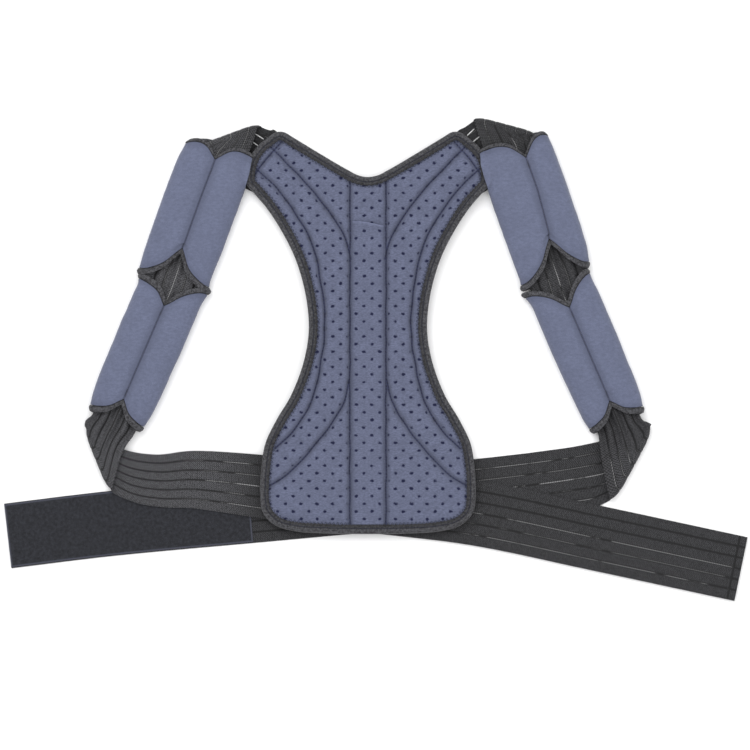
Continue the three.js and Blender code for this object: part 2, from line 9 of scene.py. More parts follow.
import bpy
import numpy as np
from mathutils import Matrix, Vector


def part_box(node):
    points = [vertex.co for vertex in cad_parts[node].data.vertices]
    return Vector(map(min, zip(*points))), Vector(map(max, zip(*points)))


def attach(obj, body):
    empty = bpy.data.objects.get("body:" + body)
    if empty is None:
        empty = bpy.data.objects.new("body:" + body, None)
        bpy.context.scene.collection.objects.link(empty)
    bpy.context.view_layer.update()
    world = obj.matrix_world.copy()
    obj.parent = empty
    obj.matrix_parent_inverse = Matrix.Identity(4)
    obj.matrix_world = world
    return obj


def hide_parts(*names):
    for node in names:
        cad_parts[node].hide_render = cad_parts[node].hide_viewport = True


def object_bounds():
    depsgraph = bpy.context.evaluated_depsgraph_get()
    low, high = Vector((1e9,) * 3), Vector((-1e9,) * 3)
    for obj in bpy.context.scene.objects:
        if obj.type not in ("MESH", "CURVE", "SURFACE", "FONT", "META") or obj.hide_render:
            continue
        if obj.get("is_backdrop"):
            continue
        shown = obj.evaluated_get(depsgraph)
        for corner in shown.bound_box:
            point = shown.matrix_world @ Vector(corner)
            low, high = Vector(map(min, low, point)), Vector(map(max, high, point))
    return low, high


bl_info = {
    "name": "Posture corrector",
    "version": (1, 0, 0),
    "blender": (4, 5, 0),
    "location": "View3D > Sidebar > Brace",
    "description": "Builds the panel, straps, pads and bindings of a posture corrector",
    "category": "Add Mesh",
}

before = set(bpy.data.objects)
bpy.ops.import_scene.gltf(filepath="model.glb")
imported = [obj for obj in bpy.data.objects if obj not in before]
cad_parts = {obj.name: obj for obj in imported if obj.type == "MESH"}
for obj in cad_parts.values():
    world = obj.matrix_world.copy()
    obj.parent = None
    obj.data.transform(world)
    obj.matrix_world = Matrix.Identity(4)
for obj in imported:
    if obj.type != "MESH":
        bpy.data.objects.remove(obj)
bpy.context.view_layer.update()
MM = 0.001

# The plan's zero in the frame: the middle of the panel's binding, and its lowest edge
_low, _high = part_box("panel_binding")
PLAN_ZERO = np.array([(_low[0] + _high[0]) / 2, _low[1], 0.0])

# Sizes in mm and angles in degrees that the solids have too
TOUCH_GAP = 0.3
PANEL_HEIGHT = 436
NECK_DEPTH = 50
NECK_TIP_HALF = 95
CORNER_HALF = 132
CORNER_DROP = 63
WAIST_HALF = 64
WAIST_HEIGHT = 232
HIP_HALF = 116
HIP_HEIGHT = 50
PANEL_THICKNESS = 7
CHANNEL_HALF = 19.4
CHANNEL_TOP = 386
BINDING_WIDTH = 9.7
BINDING_THICKNESS = 1.3
POCKET_TOP = 335
POCKET_THICKNESS = 1.2
STRAP_WIDTH = 70
STRAP_THICKNESS = 1.8
STRAP_TUCK = 42
TUCK_WIDTH = 56
BUNCHED_WIDTH = 50
PATCH_THICKNESS = 1.5
LOOP_PATCH = (262, 68)
HOOK_PATCH = (66, 56)
CROSS_HEIGHT = 37
PAD_WIDTH = 76
PAD_HEIGHT = 20
PAD_WALL = 5.4
PAD_SIDE_WALL = 4.4
PAD_CLEAR = 0.8
PAD_BINDING_LENGTH = 5.6
PAD_END_GAP = 0.7
PAD_SHARE_AT_CORNER = 0.915
UPPER_PAD_LENGTH = 132
LOWER_PAD_LENGTH = 146
LEFT_END = (-387.5, -1.6)
RIGHT_END = (-401, -37.4)

# Sizes in mm that only this scene has
HOLE_START = (4.3, 56.7)
TAPE_SEAM = 5.7
HEM_SEAM = 8
GAP_WIDTH = 65
GAP_RANGE = (225, 300)
EYE_FADE_ALONG = 35
EYE_FADE_ACROSS = 20
EYE_START_ACROSS = 14
BAND_ROWS = 9
BAND_WIDER = 1.3
TOP_BAND_NARROWER = 1.6

# Places of the webbing's thin lines, as shares of its half width
STRAP_LINES = np.linspace(-0.67, 0.67, 5)

# Points on the panel's outline: for distances, for the binding and its stitches, and for the plan
DISTANCE_POINTS = 360
BINDING_POINTS = 1300
PLAN_POINTS = 1800

# The middle of the picture in the plan, in mm, and the floor's half size and level, in metres
VIEW_CENTRE = (7.6, 172.3)
FLOOR_HALF = 6.0
FLOOR_LEVEL = -0.0002

# Each side as if it were the right one: the angles and lengths of the strap's route, then from spread on
# how the cloth lies in the photo. eye moves the corners beside the gap, across and along, in mm.
SIDES = {
    "right": dict(sign=1, exit=43, fold_width=60, fold_shift=5, top_run=20, upper=16.8, lower=23,
                  gap=22, tail=49, tail_tilt=20.3, belt_start=12.5, low_width=69, spread=9.0,
                  inner=(9.0, 0.5), outer=(1.5, 1.5), seam=(9.0, 9.0, 3.0),
                  lift=(4.0, 1.5, 0.5), edge=-1.0, pinch=3.0, belt_pinch=0.0,
                  eye=dict(upper=((-6, -12), (-1, -8.3)), lower=((-10, 10), (3, 7.8)))),
    "left": dict(sign=-1, exit=31, fold_width=54, fold_shift=9, top_run=19, upper=18, lower=23,
                 gap=10, tail=47, tail_tilt=25.6, belt_start=20, low_width=56, spread=6.0,
                 inner=(6.0, -3.0), outer=(2.5, 2.5), seam=(1.0, 1.0, 0.0),
                 lift=(9.5, 3.5, 7.5), edge=-5.0, pinch=8.0, belt_pinch=9.0,
                 eye=dict(upper=((-3.5, -7), (7.5, -4)), lower=((-7, -1), (8, 11.5)))),
}

# Levels of the stacked layers
BELOW_LEVEL = STRAP_THICKNESS / 2
PATCH_LEVEL = STRAP_THICKNESS + TOUCH_GAP
ABOVE_LEVEL = 1.5 * STRAP_THICKNESS + TOUCH_GAP
OVER_PATCH_LEVEL = PATCH_LEVEL + PATCH_THICKNESS + TOUCH_GAP + STRAP_THICKNESS / 2
BINDING_BOTTOM = OVER_PATCH_LEVEL + STRAP_THICKNESS / 2 + TOUCH_GAP
PANEL_BOTTOM = BINDING_BOTTOM + BINDING_THICKNESS + TOUCH_GAP
PANEL_TOP = PANEL_BOTTOM + PANEL_THICKNESS
LIP_TOP = PANEL_TOP + TOUCH_GAP + BINDING_THICKNESS
PAD_MIDDLE = PAD_HEIGHT / 2


# Curves and grids

def mix(a, b, share):
    return a + (b - a) * share


def smooth(share):
    """Smoothstep: 3 s^2 - 2 s^3, s kept between 0 and 1."""
    s = np.clip(share, 0, 1)
    return s * s * (3 - 2 * s)


def bell(x, width):
    """1 at x = 0, falling away on both sides as exp(-(x / width)^2)."""
    return np.exp(-((x / width) ** 2))


def ring(line):
    """The line with its first point again at its end."""
    return np.vstack([line, line[:1]])


def curve(points, closed=False, steps=12):
    """Centripetal Catmull-Rom: a cubic for each span, its end slopes taken from the neighbouring points
    and weighted by the square roots of the distances. Extra columns are carried along."""
    p = np.asarray(points, float)
    if closed:
        ext = np.vstack([p[-1:], p, p[:2]])
    else:
        ext = np.vstack([2 * p[0] - p[1], p, 2 * p[-1] - p[-2]])
    p0, p1, p2, p3 = ext[:-3], ext[1:-2], ext[2:-1], ext[3:]

    def knot(a, b):
        return np.maximum(((a - b)[:, :3] ** 2).sum(1) ** 0.25, 1e-3)[:, None]

    d0, d1, d2 = knot(p0, p1), knot(p1, p2), knot(p2, p3)
    start = ((p1 - p0) / d0 - (p2 - p0) / (d0 + d1) + (p2 - p1) / d1) * d1
    end = ((p2 - p1) / d1 - (p3 - p1) / (d1 + d2) + (p3 - p2) / d2) * d1
    w = (np.arange(steps) / steps)[None, :, None]
    a, b, s, e = p1[:, None], p2[:, None], start[:, None], end[:, None]
    out = a + s * w + (3 * b - 3 * a - 2 * s - e) * w**2 + (2 * a - 2 * b + s + e) * w**3
    out = out.reshape(-1, p.shape[1])
    return out if closed else np.vstack([out, p[-1:]])


def lengths(line):
    """Distance gone along the line at each of its points."""
    return np.concatenate([[0], np.cumsum(np.linalg.norm(np.diff(line[:, :3], axis=0), axis=1))])


def spaced(line, count, closed=False):
    """The line again, cut into equal lengths."""
    if closed:
        line = ring(line)
    gone = lengths(line)
    at = np.linspace(0, gone[-1], count + 1 if closed else count)
    out = np.stack([np.interp(at, gone, column) for column in line.T], 1)
    return out[:-1] if closed else out


def left_of(vectors):
    """The vectors turned a quarter anticlockwise in plan."""
    v = np.asarray(vectors, float)
    return np.stack([-v[..., 1], v[..., 0], np.zeros_like(v[..., 0])], -1)


def unit(vectors):
    return vectors / np.maximum(np.linalg.norm(vectors, axis=-1, keepdims=True), 1e-9)


def tangents(line, closed=False):
    if closed:
        return unit(np.roll(line, -1, 0) - np.roll(line, 1, 0))
    return unit(np.gradient(line, axis=0))


def grid_quads(rows, columns, ring=False, loop=False, first=0):
    """Quads of a grid of points. ring joins the last row to the first, loop the last column."""
    r = np.arange(rows if ring else rows - 1)[:, None]
    c = np.arange(columns if loop else columns - 1)[None, :]
    r2, c2 = (r + 1) % rows, (c + 1) % columns
    corners = [r * columns + c, r * columns + c2, r2 * columns + c2, r2 * columns + c]
    return np.stack(corners, -1).reshape(-1, 4) + first


def shell(upper, lower):
    """A closed sheet between two grids of points: both faces and the four edges."""
    rows, columns = upper.shape[:2]
    points = np.concatenate([upper.reshape(-1, 3), lower.reshape(-1, 3)])
    n = rows * columns
    face = grid_quads(rows, columns)
    r, c = np.arange(rows - 1), np.arange(columns - 1)
    left = np.stack([r * columns, (r + 1) * columns, (r + 1) * columns + n, r * columns + n], 1)
    right = left[:, ::-1] + columns - 1
    near = np.stack([c, c + n, c + n + 1, c + 1], 1)
    far = near[:, ::-1] + (rows - 1) * columns
    return points, np.concatenate([face, face[:, ::-1] + n, left, right, near, far])


def near_lines(points, lines):
    """The distance in plan from each point to the nearest line. The nearest place on a segment is the
    foot of the perpendicular, kept between its two ends."""
    starts = np.concatenate([line[:-1, :2] for line in lines])
    runs = np.concatenate([np.diff(line[:, :2], axis=0) for line in lines])
    size = (runs**2).sum(1)
    best = np.empty(len(points))
    for block in np.array_split(np.arange(len(points)), max(len(points) // 4000, 1)):
        offset = points[block, None, :2] - starts[None]
        share = np.clip((offset * runs).sum(2) / size, 0, 1)
        away = ((offset - share[..., None] * runs) ** 2).sum(2)
        best[block] = np.sqrt(away.min(1))
    return best


def on_both(upper, lower=None):
    """A value for every point of a shell: the upper face's values, then the lower face's."""
    return np.concatenate([np.ravel(upper), np.ravel(upper if lower is None else lower)])


def ripple(points, size, seed):
    """A soft unevenness from -1 to 1: the mean of eight waves with seeded directions and phases."""
    random = np.random.default_rng(seed)
    angle = random.uniform(0, 2 * np.pi, 8)
    reach = 2 * np.pi / (size * random.uniform(0.7, 1.6, 8))
    turns = np.stack([np.cos(angle), np.sin(angle)]) * reach
    return np.sin(points[..., :2] @ turns + random.uniform(0, 6.3, 8)).mean(-1) * 1.6


def add_object(name, data):
    obj = bpy.data.objects.new(name, data)
    bpy.context.scene.collection.objects.link(obj)
    return obj


def put(name, points, quads, material, nodes=(), attributes=None, sharp=50):
    """Moves the points to the frame, none of them below the floor, makes the mesh and puts it in the
    scene. Faces are turned out by the sign of the volume; each object gets its material and is set
    under the root, and the nodes it replaces are hidden."""
    points = np.array(points, float)
    points[:, 2] = np.maximum(points[:, 2], 0)
    points = (points * MM + PLAN_ZERO).astype(np.float32)
    a, b, c, d = (points[quads[:, i]].astype(float) for i in range(4))
    volume = (a * np.cross(b, c)).sum() + (a * np.cross(c, d)).sum()
    if volume < 0:
        quads = quads[:, ::-1]
    mesh = bpy.data.meshes.new(name)
    mesh.vertices.add(len(points))
    mesh.vertices.foreach_set("co", points.ravel())
    mesh.loops.add(quads.size)
    mesh.loops.foreach_set("vertex_index", quads.ravel().astype(np.int32))
    mesh.polygons.add(len(quads))
    mesh.polygons.foreach_set("loop_start", np.arange(0, quads.size, 4, dtype=np.int32))
    for key, values in (attributes or {}).items():
        layer = mesh.attributes.new(key, "FLOAT", "POINT")
        layer.data.foreach_set("value", np.asarray(values, np.float32).ravel())
    mesh.update(calc_edges=True)
    mesh.validate()
    mesh.shade_smooth()
    mesh.set_sharp_from_angle(angle=math.radians(sharp))
    obj = add_object(name, mesh)
    mesh.materials.append(material)
    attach(obj, "root")
    if nodes:
        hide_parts(*nodes)
    return obj


# Materials

class Nodes:
    """Short calls for building one material's node tree."""

    def __init__(self, name, roughness, sheen=0.0):
        self.material = bpy.data.materials.new(name)
        self.material.use_nodes = True
        self.tree = self.material.node_tree
        self.shader = self.tree.nodes["Principled BSDF"]
        self.shader.inputs["Roughness"].default_value = roughness
        self.shader.inputs["Specular IOR Level"].default_value = 0.25
        if sheen:
            self.shader.inputs["Sheen Weight"].default_value = sheen
            self.shader.inputs["Sheen Roughness"].default_value = 0.45
        self.place = self.add("ShaderNodeTexCoord").outputs["Object"]

    def add(self, kind, **settings):
        node = self.tree.nodes.new(kind)
        for key, value in settings.items():
            setattr(node, key, value)
        return node

    def link(self, value, socket):
        if isinstance(value, bpy.types.NodeSocket):
            self.tree.links.new(value, socket)
        else:
            socket.default_value = value

    def math(self, operation, *values):
        node = self.add("ShaderNodeMath", operation=operation)
        for value, socket in zip(values, node.inputs):
            self.link(value, socket)
        return node.outputs[0]

    def total(self, a, a_share, b, b_share=1.0):
        """a times its share, plus b times its share."""
        return self.math("ADD", self.math("MULTIPLY", a, a_share), self.math("MULTIPLY", b, b_share))

    def attribute(self, name):
        return self.add("ShaderNodeAttribute", attribute_name=name).outputs["Fac"]

    def waves(self, name, pitch):
        """A sine along the named attribute, which is in mm, with one wave to each pitch."""
        return self.math("SINE", self.math("MULTIPLY", self.attribute(name), 2 * math.pi / (pitch / MM)))

    def noise(self, scale, detail=2.0, stretch=None, roughness=0.55):
        node = self.add("ShaderNodeTexNoise")
        node.inputs["Scale"].default_value = scale
        node.inputs["Detail"].default_value = detail
        node.inputs["Roughness"].default_value = roughness
        place = self.place
        if stretch:
            mapping = self.add("ShaderNodeMapping")
            mapping.inputs["Scale"].default_value = stretch
            self.link(place, mapping.inputs["Vector"])
            place = mapping.outputs[0]
        self.link(place, node.inputs["Vector"])
        return node.outputs[0]

    def ramp(self, value, low, high, to_low=0.0, to_high=1.0):
        node = self.add("ShaderNodeMapRange", interpolation_type="SMOOTHSTEP")
        for item, key in ((value, 0), (low, 1), (high, 2), (to_low, 3), (to_high, 4)):
            self.link(item, node.inputs[key])
        return node.outputs[0]

    def blend(self, share, a, b):
        node = self.add("ShaderNodeMix", data_type="RGBA")
        self.link(share, node.inputs[0])
        self.link(a, node.inputs[6])
        self.link(b, node.inputs[7])
        return node.outputs[2]

    def tones(self, value, low, high, colour, dark, light):
        """The colour times dark where the value is low, up to the colour times light where it is high."""
        return self.blend(self.ramp(value, low, high), tone(colour, dark), tone(colour, light))

    def colour(self, value):
        self.link(value, self.shader.inputs["Base Color"])

    def bump(self, height, distance, strength=1.0):
        node = self.add("ShaderNodeBump")
        node.inputs["Strength"].default_value = strength
        node.inputs["Distance"].default_value = distance
        self.link(height, node.inputs["Height"])
        self.link(node.outputs[0], self.shader.inputs["Normal"])


def tone(colour, factor=1.0):
    return tuple(min(c * factor, 1.0) for c in colour[:3]) + (1.0,)


def lattice_distance(m, pitch, row_pitch, start, squash=1.0):
    """Distance in metres to the nearest hole of a staggered lattice, from sums of squared remainders."""
    split = m.add("ShaderNodeSeparateXYZ")
    m.link(m.place, split.inputs[0])

    def away(axis, period, origin):
        shifted = m.math("ADD", m.math("SUBTRACT", split.outputs[axis], origin), period / 2)
        return m.math("SUBTRACT", m.math("FLOORED_MODULO", shifted, period), period / 2)

    found = []
    for half in (0, 1):
        x = away(0, pitch, start[0] + half * pitch / 2)
        y = away(1, 2 * row_pitch, start[1] + half * row_pitch)
        x = m.math("MULTIPLY", x, squash)
        square = m.math("ADD", m.math("MULTIPLY", x, x), m.math("MULTIPLY", y, y))
        found.append(m.math("SQRT", square))
    return m.math("MINIMUM", *found)


def panel_material():
    """Brushed knit: fine and broad noise in the colour, painted shade in the dips beside the seams and navy
    seams by the seam attribute, a painted highlight on the pocket's mouth edge by the rim attribute, and
    painted shade in the holes by a staggered lattice on object coordinates."""
    s = bpy.context.scene.brace_panel
    m = Nodes("perforated panel fabric", 0.92, sheen=0.18)
    fine = m.noise(1900, 3)
    broad = m.noise(60, 3)
    knit = m.noise(900, 1, stretch=(0.4, 1, 1))
    base = m.tones(m.total(fine, 0.5, knit, 0.5), 0.32, 0.68, s.colour, 0.76, 1.38)
    base = m.blend(m.ramp(broad, 0.3, 0.7, 0.0, 0.35), base, tone(s.colour, 0.8))
    # Painted shade in the dips beside the seams, by the seam attribute
    painted_valley_shade = m.ramp(m.attribute("seam"), 0.6, 6.5, 0.5, 0.0)
    base = m.blend(painted_valley_shade, base, tone(s.colour, 0.55))
    seam = m.ramp(m.attribute("seam"), 0.3, 1.5, 0.8, 0.0)
    base = m.blend(seam, base, tone(s.seam_colour))
    # Painted highlight on the pocket's raised mouth edge, by the rim attribute
    base = m.blend(m.math("MULTIPLY", m.attribute("rim"), 0.8), base, tone(s.colour, 1.75))
    # Painted shade in the holes: the shallow dips are filled with the dark of the perforations' depth
    start = [zero + place * MM for zero, place in zip(PLAN_ZERO, HOLE_START)]
    pit = lattice_distance(m, s.hole_pitch, s.hole_row_pitch, start, 0.78)
    ragged = m.total(m.math("SUBTRACT", m.noise(330, 1), 0.5), 0.0026, pit)
    radius = s.hole_width / 2
    inside = m.math("MULTIPLY", m.ramp(ragged, radius * 0.5, radius * 1.3, 1.0, 0.0), m.attribute("open"))
    m.colour(m.blend(inside, base, tone(s.hole_shade_colour)))
    m.bump(m.total(fine, 0.6, knit, 0.9), 0.0007, 0.55)
    return m.material


def pad_material():
    """Brushed fleece: streaky fine noise along the pile, broad cloudy patches, and by the seam attribute
    painted shade beside the centre seam and at the pad's ends, with a dark middle in the seam."""
    s = bpy.context.scene.brace_pads
    m = Nodes("brushed pad fabric", 0.95, sheen=0.22)
    fine = m.noise(1700, 3)
    streak = m.noise(430, 3, stretch=(0.5, 1.0, 1.0))
    broad = m.noise(45, 3)
    base = m.tones(m.total(fine, 0.6, streak, 0.4), 0.33, 0.67, s.colour, 0.81, 1.23)
    base = m.blend(m.ramp(broad, 0.3, 0.72, 0.0, 0.3), base, tone(s.colour, 0.78))
    # Painted shade beside the centre seam and at the pad's ends, by the seam attribute
    painted_valley_shade = m.ramp(m.attribute("seam"), 0.8, 8.8, 0.5, 0.0)
    base = m.blend(painted_valley_shade, base, tone(s.colour, 0.62))
    seam = m.ramp(m.attribute("seam"), 0.2, 2.0, 0.45, 0.0)
    m.colour(m.blend(seam, base, tone(s.seam_colour)))
    m.bump(m.total(streak, 0.3, fine), 0.0006, 0.5)
    return m.material


def binding_material():
    """Ribbed tape: ribs across by the along attribute, with fuzz in colour and height, and painted shade
    where the crease attribute says."""
    s = bpy.context.scene.brace_trim
    m = Nodes("ribbed edge binding", 0.88, sheen=0.12)
    ribs = m.waves("along", s.rib_pitch)
    fuzz = m.noise(1500, 3)
    clumps = m.noise(430, 2)
    shade = m.total(ribs, 0.05, m.math("ADD", fuzz, clumps), 0.5)
    base = m.tones(shade, 0.36, 0.64, s.colour, 0.35, 2.3)
    # Painted shade in the tape's creases
    crease_shade = m.ramp(m.attribute("crease_shade"), 0.0, 1.0, 0.0, 0.65)
    m.colour(m.blend(crease_shade, base, tone(s.colour, 0.22)))
    m.bump(m.total(ribs, 0.15, fuzz), 0.0007, 0.7)
    return m.material


def webbing_material():
    """Elastic webbing: beads by the product of two sines, of the along and across attributes, and five
    thin lines by the line attribute, in which the glint of a clear filament is a painted highlight in
    dashes where bright says. A painted sheen makes the cloth paler where pale says."""
    s = bpy.context.scene.brace_straps
    m = Nodes("ribbed elastic webbing", 0.72, sheen=0.08)
    ribs = m.waves("along", s.rib_pitch)
    courses = m.waves("across", s.course_pitch)
    yarn = m.noise(680, 3, roughness=0.7)
    beads = m.total(m.math("MULTIPLY", ribs, courses), 0.3, ribs, 0.1)
    shade = m.math("ADD", beads, yarn)
    base = m.tones(shade, 0.26, 0.76, s.colour, 0.15, 1.85)
    # Painted sheen: a lighter copy of the webbing, blended in by the pale attribute
    pale = m.tones(shade, 0.3, 0.72, s.colour, 0.35, 4.0)
    base = m.blend(m.attribute("pale"), base, pale)
    line = m.attribute("line")
    base = m.blend(m.ramp(line, 0.5, 1.7, 0.88, 0.0), base, tone(s.colour, 0.2))
    # Painted highlight: the clear filament's glint in dashes along the lines
    dash = m.ramp(m.noise(38, 2), 0.38, 0.5)
    bits = m.ramp(ribs, -0.5, 0.5, 0.35, 1.0)
    glint = m.math("MULTIPLY", m.math("MULTIPLY", m.ramp(line, 0.25, 0.8, 0.85, 0.0), dash), bits)
    glint = m.math("MULTIPLY", glint, m.attribute("painted_glint"))
    m.colour(m.blend(glint, base, tone(s.glint_colour)))
    m.bump(m.total(ribs, 0.5, yarn), 0.0005, 0.6)
    return m.material


def pile_material():
    """Napped loop pile: dense fine noise, paler at its lifted tips, with a plain woven edge by the edge
    attribute."""
    s = bpy.context.scene.brace_closures
    m = Nodes("napped loop pile", 1.0, sheen=0.3)
    tips = m.noise(2200, 4, roughness=0.7)
    nap = m.noise(260, 3)
    shade = m.total(tips, 0.65, nap, 0.35)
    base = m.tones(shade, 0.36, 0.66, s.pile_colour, 0.5, 1.7)
    edge = m.ramp(m.attribute("edge"), 0.9, 2.2, 0.85, 0.0)
    m.colour(m.blend(edge, base, tone(s.edge_colour)))
    m.bump(shade, 0.0016, 0.8)
    return m.material


def hook_material():
    """Hook tape: rows of small stiff hooks as a staggered lattice in height, semi-gloss nylon."""
    s = bpy.context.scene.brace_closures
    m = Nodes("hook tape", 0.5)
    dots = m.ramp(lattice_distance(m, 0.0018, 0.0008, (0.0, 0.0)), 0.0002, 0.0007, 1.0, 0.0)
    m.colour(m.blend(dots, tone(s.hook_colour, 0.6), tone(s.hook_colour, 1.6)))
    m.bump(dots, 0.0006, 0.8)
    return m.material


def thread_material():
    """Sewing thread: its twisted strands are fine noise in colour and height."""
    s = bpy.context.scene.brace_trim
    m = Nodes("sewing thread", 0.6, sheen=0.1)
    twist = m.noise(2600, 2)
    m.colour(m.tones(twist, 0.3, 0.7, s.thread_colour, 0.6, 1.5))
    m.bump(twist, 0.0003, 0.5)
    return m.material


def filament_glint_material():
    """Clear nylon filament: glossy, its pale colour a painted highlight for its glint, with a faint cloud
    along it.
    """
    m = Nodes("clear filament", 0.3)
    m.colour(m.blend(m.ramp(m.noise(700, 1), 0.3, 0.7), (0.62, 0.62, 0.63, 1), (0.85, 0.85, 0.86, 1)))
    return m.material


def floor_material():
    """Plain pale floor with a faint broad cloud."""
    m = Nodes("pale studio floor", 0.9)
    m.colour(m.blend(m.ramp(m.noise(4, 2), 0.3, 0.7), (0.93, 0.93, 0.935, 1), (0.95, 0.95, 0.955, 1)))
    return m.material


# The panel's outline and seams

NECK = [(0, 1), (0.114, 0.96), (0.227, 0.85), (0.421, 0.636), (0.637, 0.388), (0.85, 0.14), (0.96, 0.02)]
CORNER = [(0.12, 0.02), (0.378, 0.12), (0.643, 0.25), (0.876, 0.45), (0.99, 0.7), (0.97, 0.92)]
FLANK = [(0.87, 0.03), (0.68, 0.137), (0.441, 0.313), (0.218, 0.528), (0.065, 0.775), (0, 1)]
HIP = [(0.01, 0.12), (0.125, 0.28), (0.37, 0.46), (0.65, 0.595), (0.885, 0.735), (0.96, 0.845), (1, 1)]
HEM = [(0.996, 0.7), (0.98, 0.5), (0.935, 0.33), (0.838, 0.162), (0.652, 0.054), (0.326, 0.01), (0, 0)]

# Seams, right half: share of the panel's half span at that height, and of its height
SEAMS = [
    [(0.81, 0.965), (0.6, 0.9), (0.445, 0.846), (0.32, 0.783), (0.235, 0.736), (0.19, 0.68)],
    [(0.915, 0.906), (0.737, 0.853), (0.661, 0.796), (0.605, 0.745), (0.58, 0.688), (0.61, 0.624),
     (0.69, 0.55), (0.667, 0.477), (0.655, 0.408), (0.664, 0.344), (0.733, 0.291), (0.83, 0.249),
     (0.95, 0.211)],
    [(0.243, 0.381), (0.29, 0.326), (0.41, 0.271), (0.555, 0.218), (0.7, 0.169), (0.8, 0.14),
     (0.93, 0.116)],
    [(0.71, 0.973), (0.86, 0.92), (0.975, 0.87)],
]


def half_outline():
    """The outline's points down the right half, from the neck's middle to the hem's middle."""
    neck = [(a * NECK_TIP_HALF, PANEL_HEIGHT - d * NECK_DEPTH) for a, d in NECK]
    corner = [(mix(NECK_TIP_HALF, CORNER_HALF, a), PANEL_HEIGHT - d * CORNER_DROP) for a, d in CORNER]
    tip = PANEL_HEIGHT - CORNER_DROP
    flank = [(mix(WAIST_HALF, CORNER_HALF, a), mix(tip, WAIST_HEIGHT, d)) for a, d in FLANK]
    hip = [(mix(WAIST_HALF, HIP_HALF, a), mix(WAIST_HEIGHT, HIP_HEIGHT, d)) for a, d in HIP]
    hem = [(a * HIP_HALF, u * HIP_HEIGHT) for a, u in HEM]
    return np.array(neck + corner + flank + hip + hem)


def outline(count):
    """The whole outline, anticlockwise from the hem's middle, in equal steps."""
    right = half_outline()[::-1]
    left = right[1:-1][::-1] * (-1, 1)
    points = np.vstack([right, left])
    points = np.column_stack([points, np.zeros(len(points))])
    return spaced(curve(points, closed=True), count, closed=True)


def inset(line, amount):
    return line + left_of(tangents(line, closed=True)) * amount


def half_span(y):
    """The panel's half span for the seams: straight from hip to waist to corner."""
    shoulder = PANEL_HEIGHT - CORNER_DROP
    return np.interp(y, [HIP_HEIGHT, WAIST_HEIGHT, shoulder], [HIP_HALF, WAIST_HALF, CORNER_HALF])


def seam_lines():
    lines = []
    for sign in (1, -1):
        for table in SEAMS:
            y = np.array([up for _, up in table]) * PANEL_HEIGHT
            x = sign * np.array([across for across, _ in table]) * half_span(y)
            dense = curve(np.column_stack([x, y, np.zeros(len(y))]), steps=24)
            dense[:, 0] += 0.7 * ripple(dense, 24, 41) * smooth(lengths(dense) / 20)
            lines.append(spaced(dense, max(int(lengths(dense)[-1] / 4), 4)))
        ends = np.array([[sign * CHANNEL_HALF, BINDING_WIDTH, 0], [sign * CHANNEL_HALF, CHANNEL_TOP, 0]])
        channel = spaced(ends, 80)
        channel[:, 0] += 0.5 * ripple(channel, 26, 43)
        lines.append(channel)
    return lines


def coons(bottom, top, left, right):
    """A surface between four lines: the two straight blends of opposite lines, less the blend of the
    four corners."""
    u = np.linspace(0, 1, len(bottom))[None, :, None]
    v = np.linspace(0, 1, len(left))[:, None, None]
    corners = (1 - v) * ((1 - u) * bottom[0] + u * bottom[-1]) + v * ((1 - u) * top[0] + u * top[-1])
    across = (1 - v) * bottom[None] + v * top[None]
    up = (1 - u) * left[:, None] + u * right[:, None]
    return across + up - corners


def to_outline(points):
    """The distance in plan from each point to the panel's outline."""
    return near_lines(points, [ring(outline(DISTANCE_POINTS))])


def panel_plan(columns, rows):
    """The panel's grid in plan, its edge inside the binding's fold."""
    line = inset(outline(PLAN_POINTS), BINDING_THICKNESS + TOUCH_GAP)

    def nearest(x, y):
        return int(((line[:, 0] - x) ** 2 + (line[:, 1] - y) ** 2).argmin())

    tip = (mix(NECK_TIP_HALF, CORNER_HALF, 0.643), PANEL_HEIGHT - 0.25 * CORNER_DROP)
    foot = (0.935 * HIP_HALF, 0.33 * HIP_HEIGHT)
    low_right, high_right = nearest(*foot), nearest(*tip)
    high_left, low_left = nearest(-tip[0], tip[1]), nearest(-foot[0], foot[1])
    right = line[low_right:high_right + 1]
    top = line[high_right:high_left + 1][::-1]
    left = line[high_left:low_left + 1][::-1]
    bottom = np.vstack([line[low_left:], line[:low_right + 1]])
    return coons(spaced(bottom, columns), spaced(top, columns), spaced(left, rows), spaced(right, rows))


def hole_pattern(points):
    """Distance in mm to the nearest hole of the staggered lattice."""
    s = bpy.context.scene.brace_panel
    pitch, row = s.hole_pitch / MM, s.hole_row_pitch / MM
    found = []
    for half in (0, 1):
        x = (points[..., 0] - HOLE_START[0] - half * pitch / 2 + pitch / 2) % pitch - pitch / 2
        y = (points[..., 1] - HOLE_START[1] - half * row + row) % (2 * row) - row
        found.append(np.hypot(x, y))
    return np.minimum(*found)


def hole_dip(hole):
    """1 at the middle of a hole, falling away as a bell in the distance to it."""
    return bell(hole, bpy.context.scene.brace_panel.hole_width / MM * 0.55)


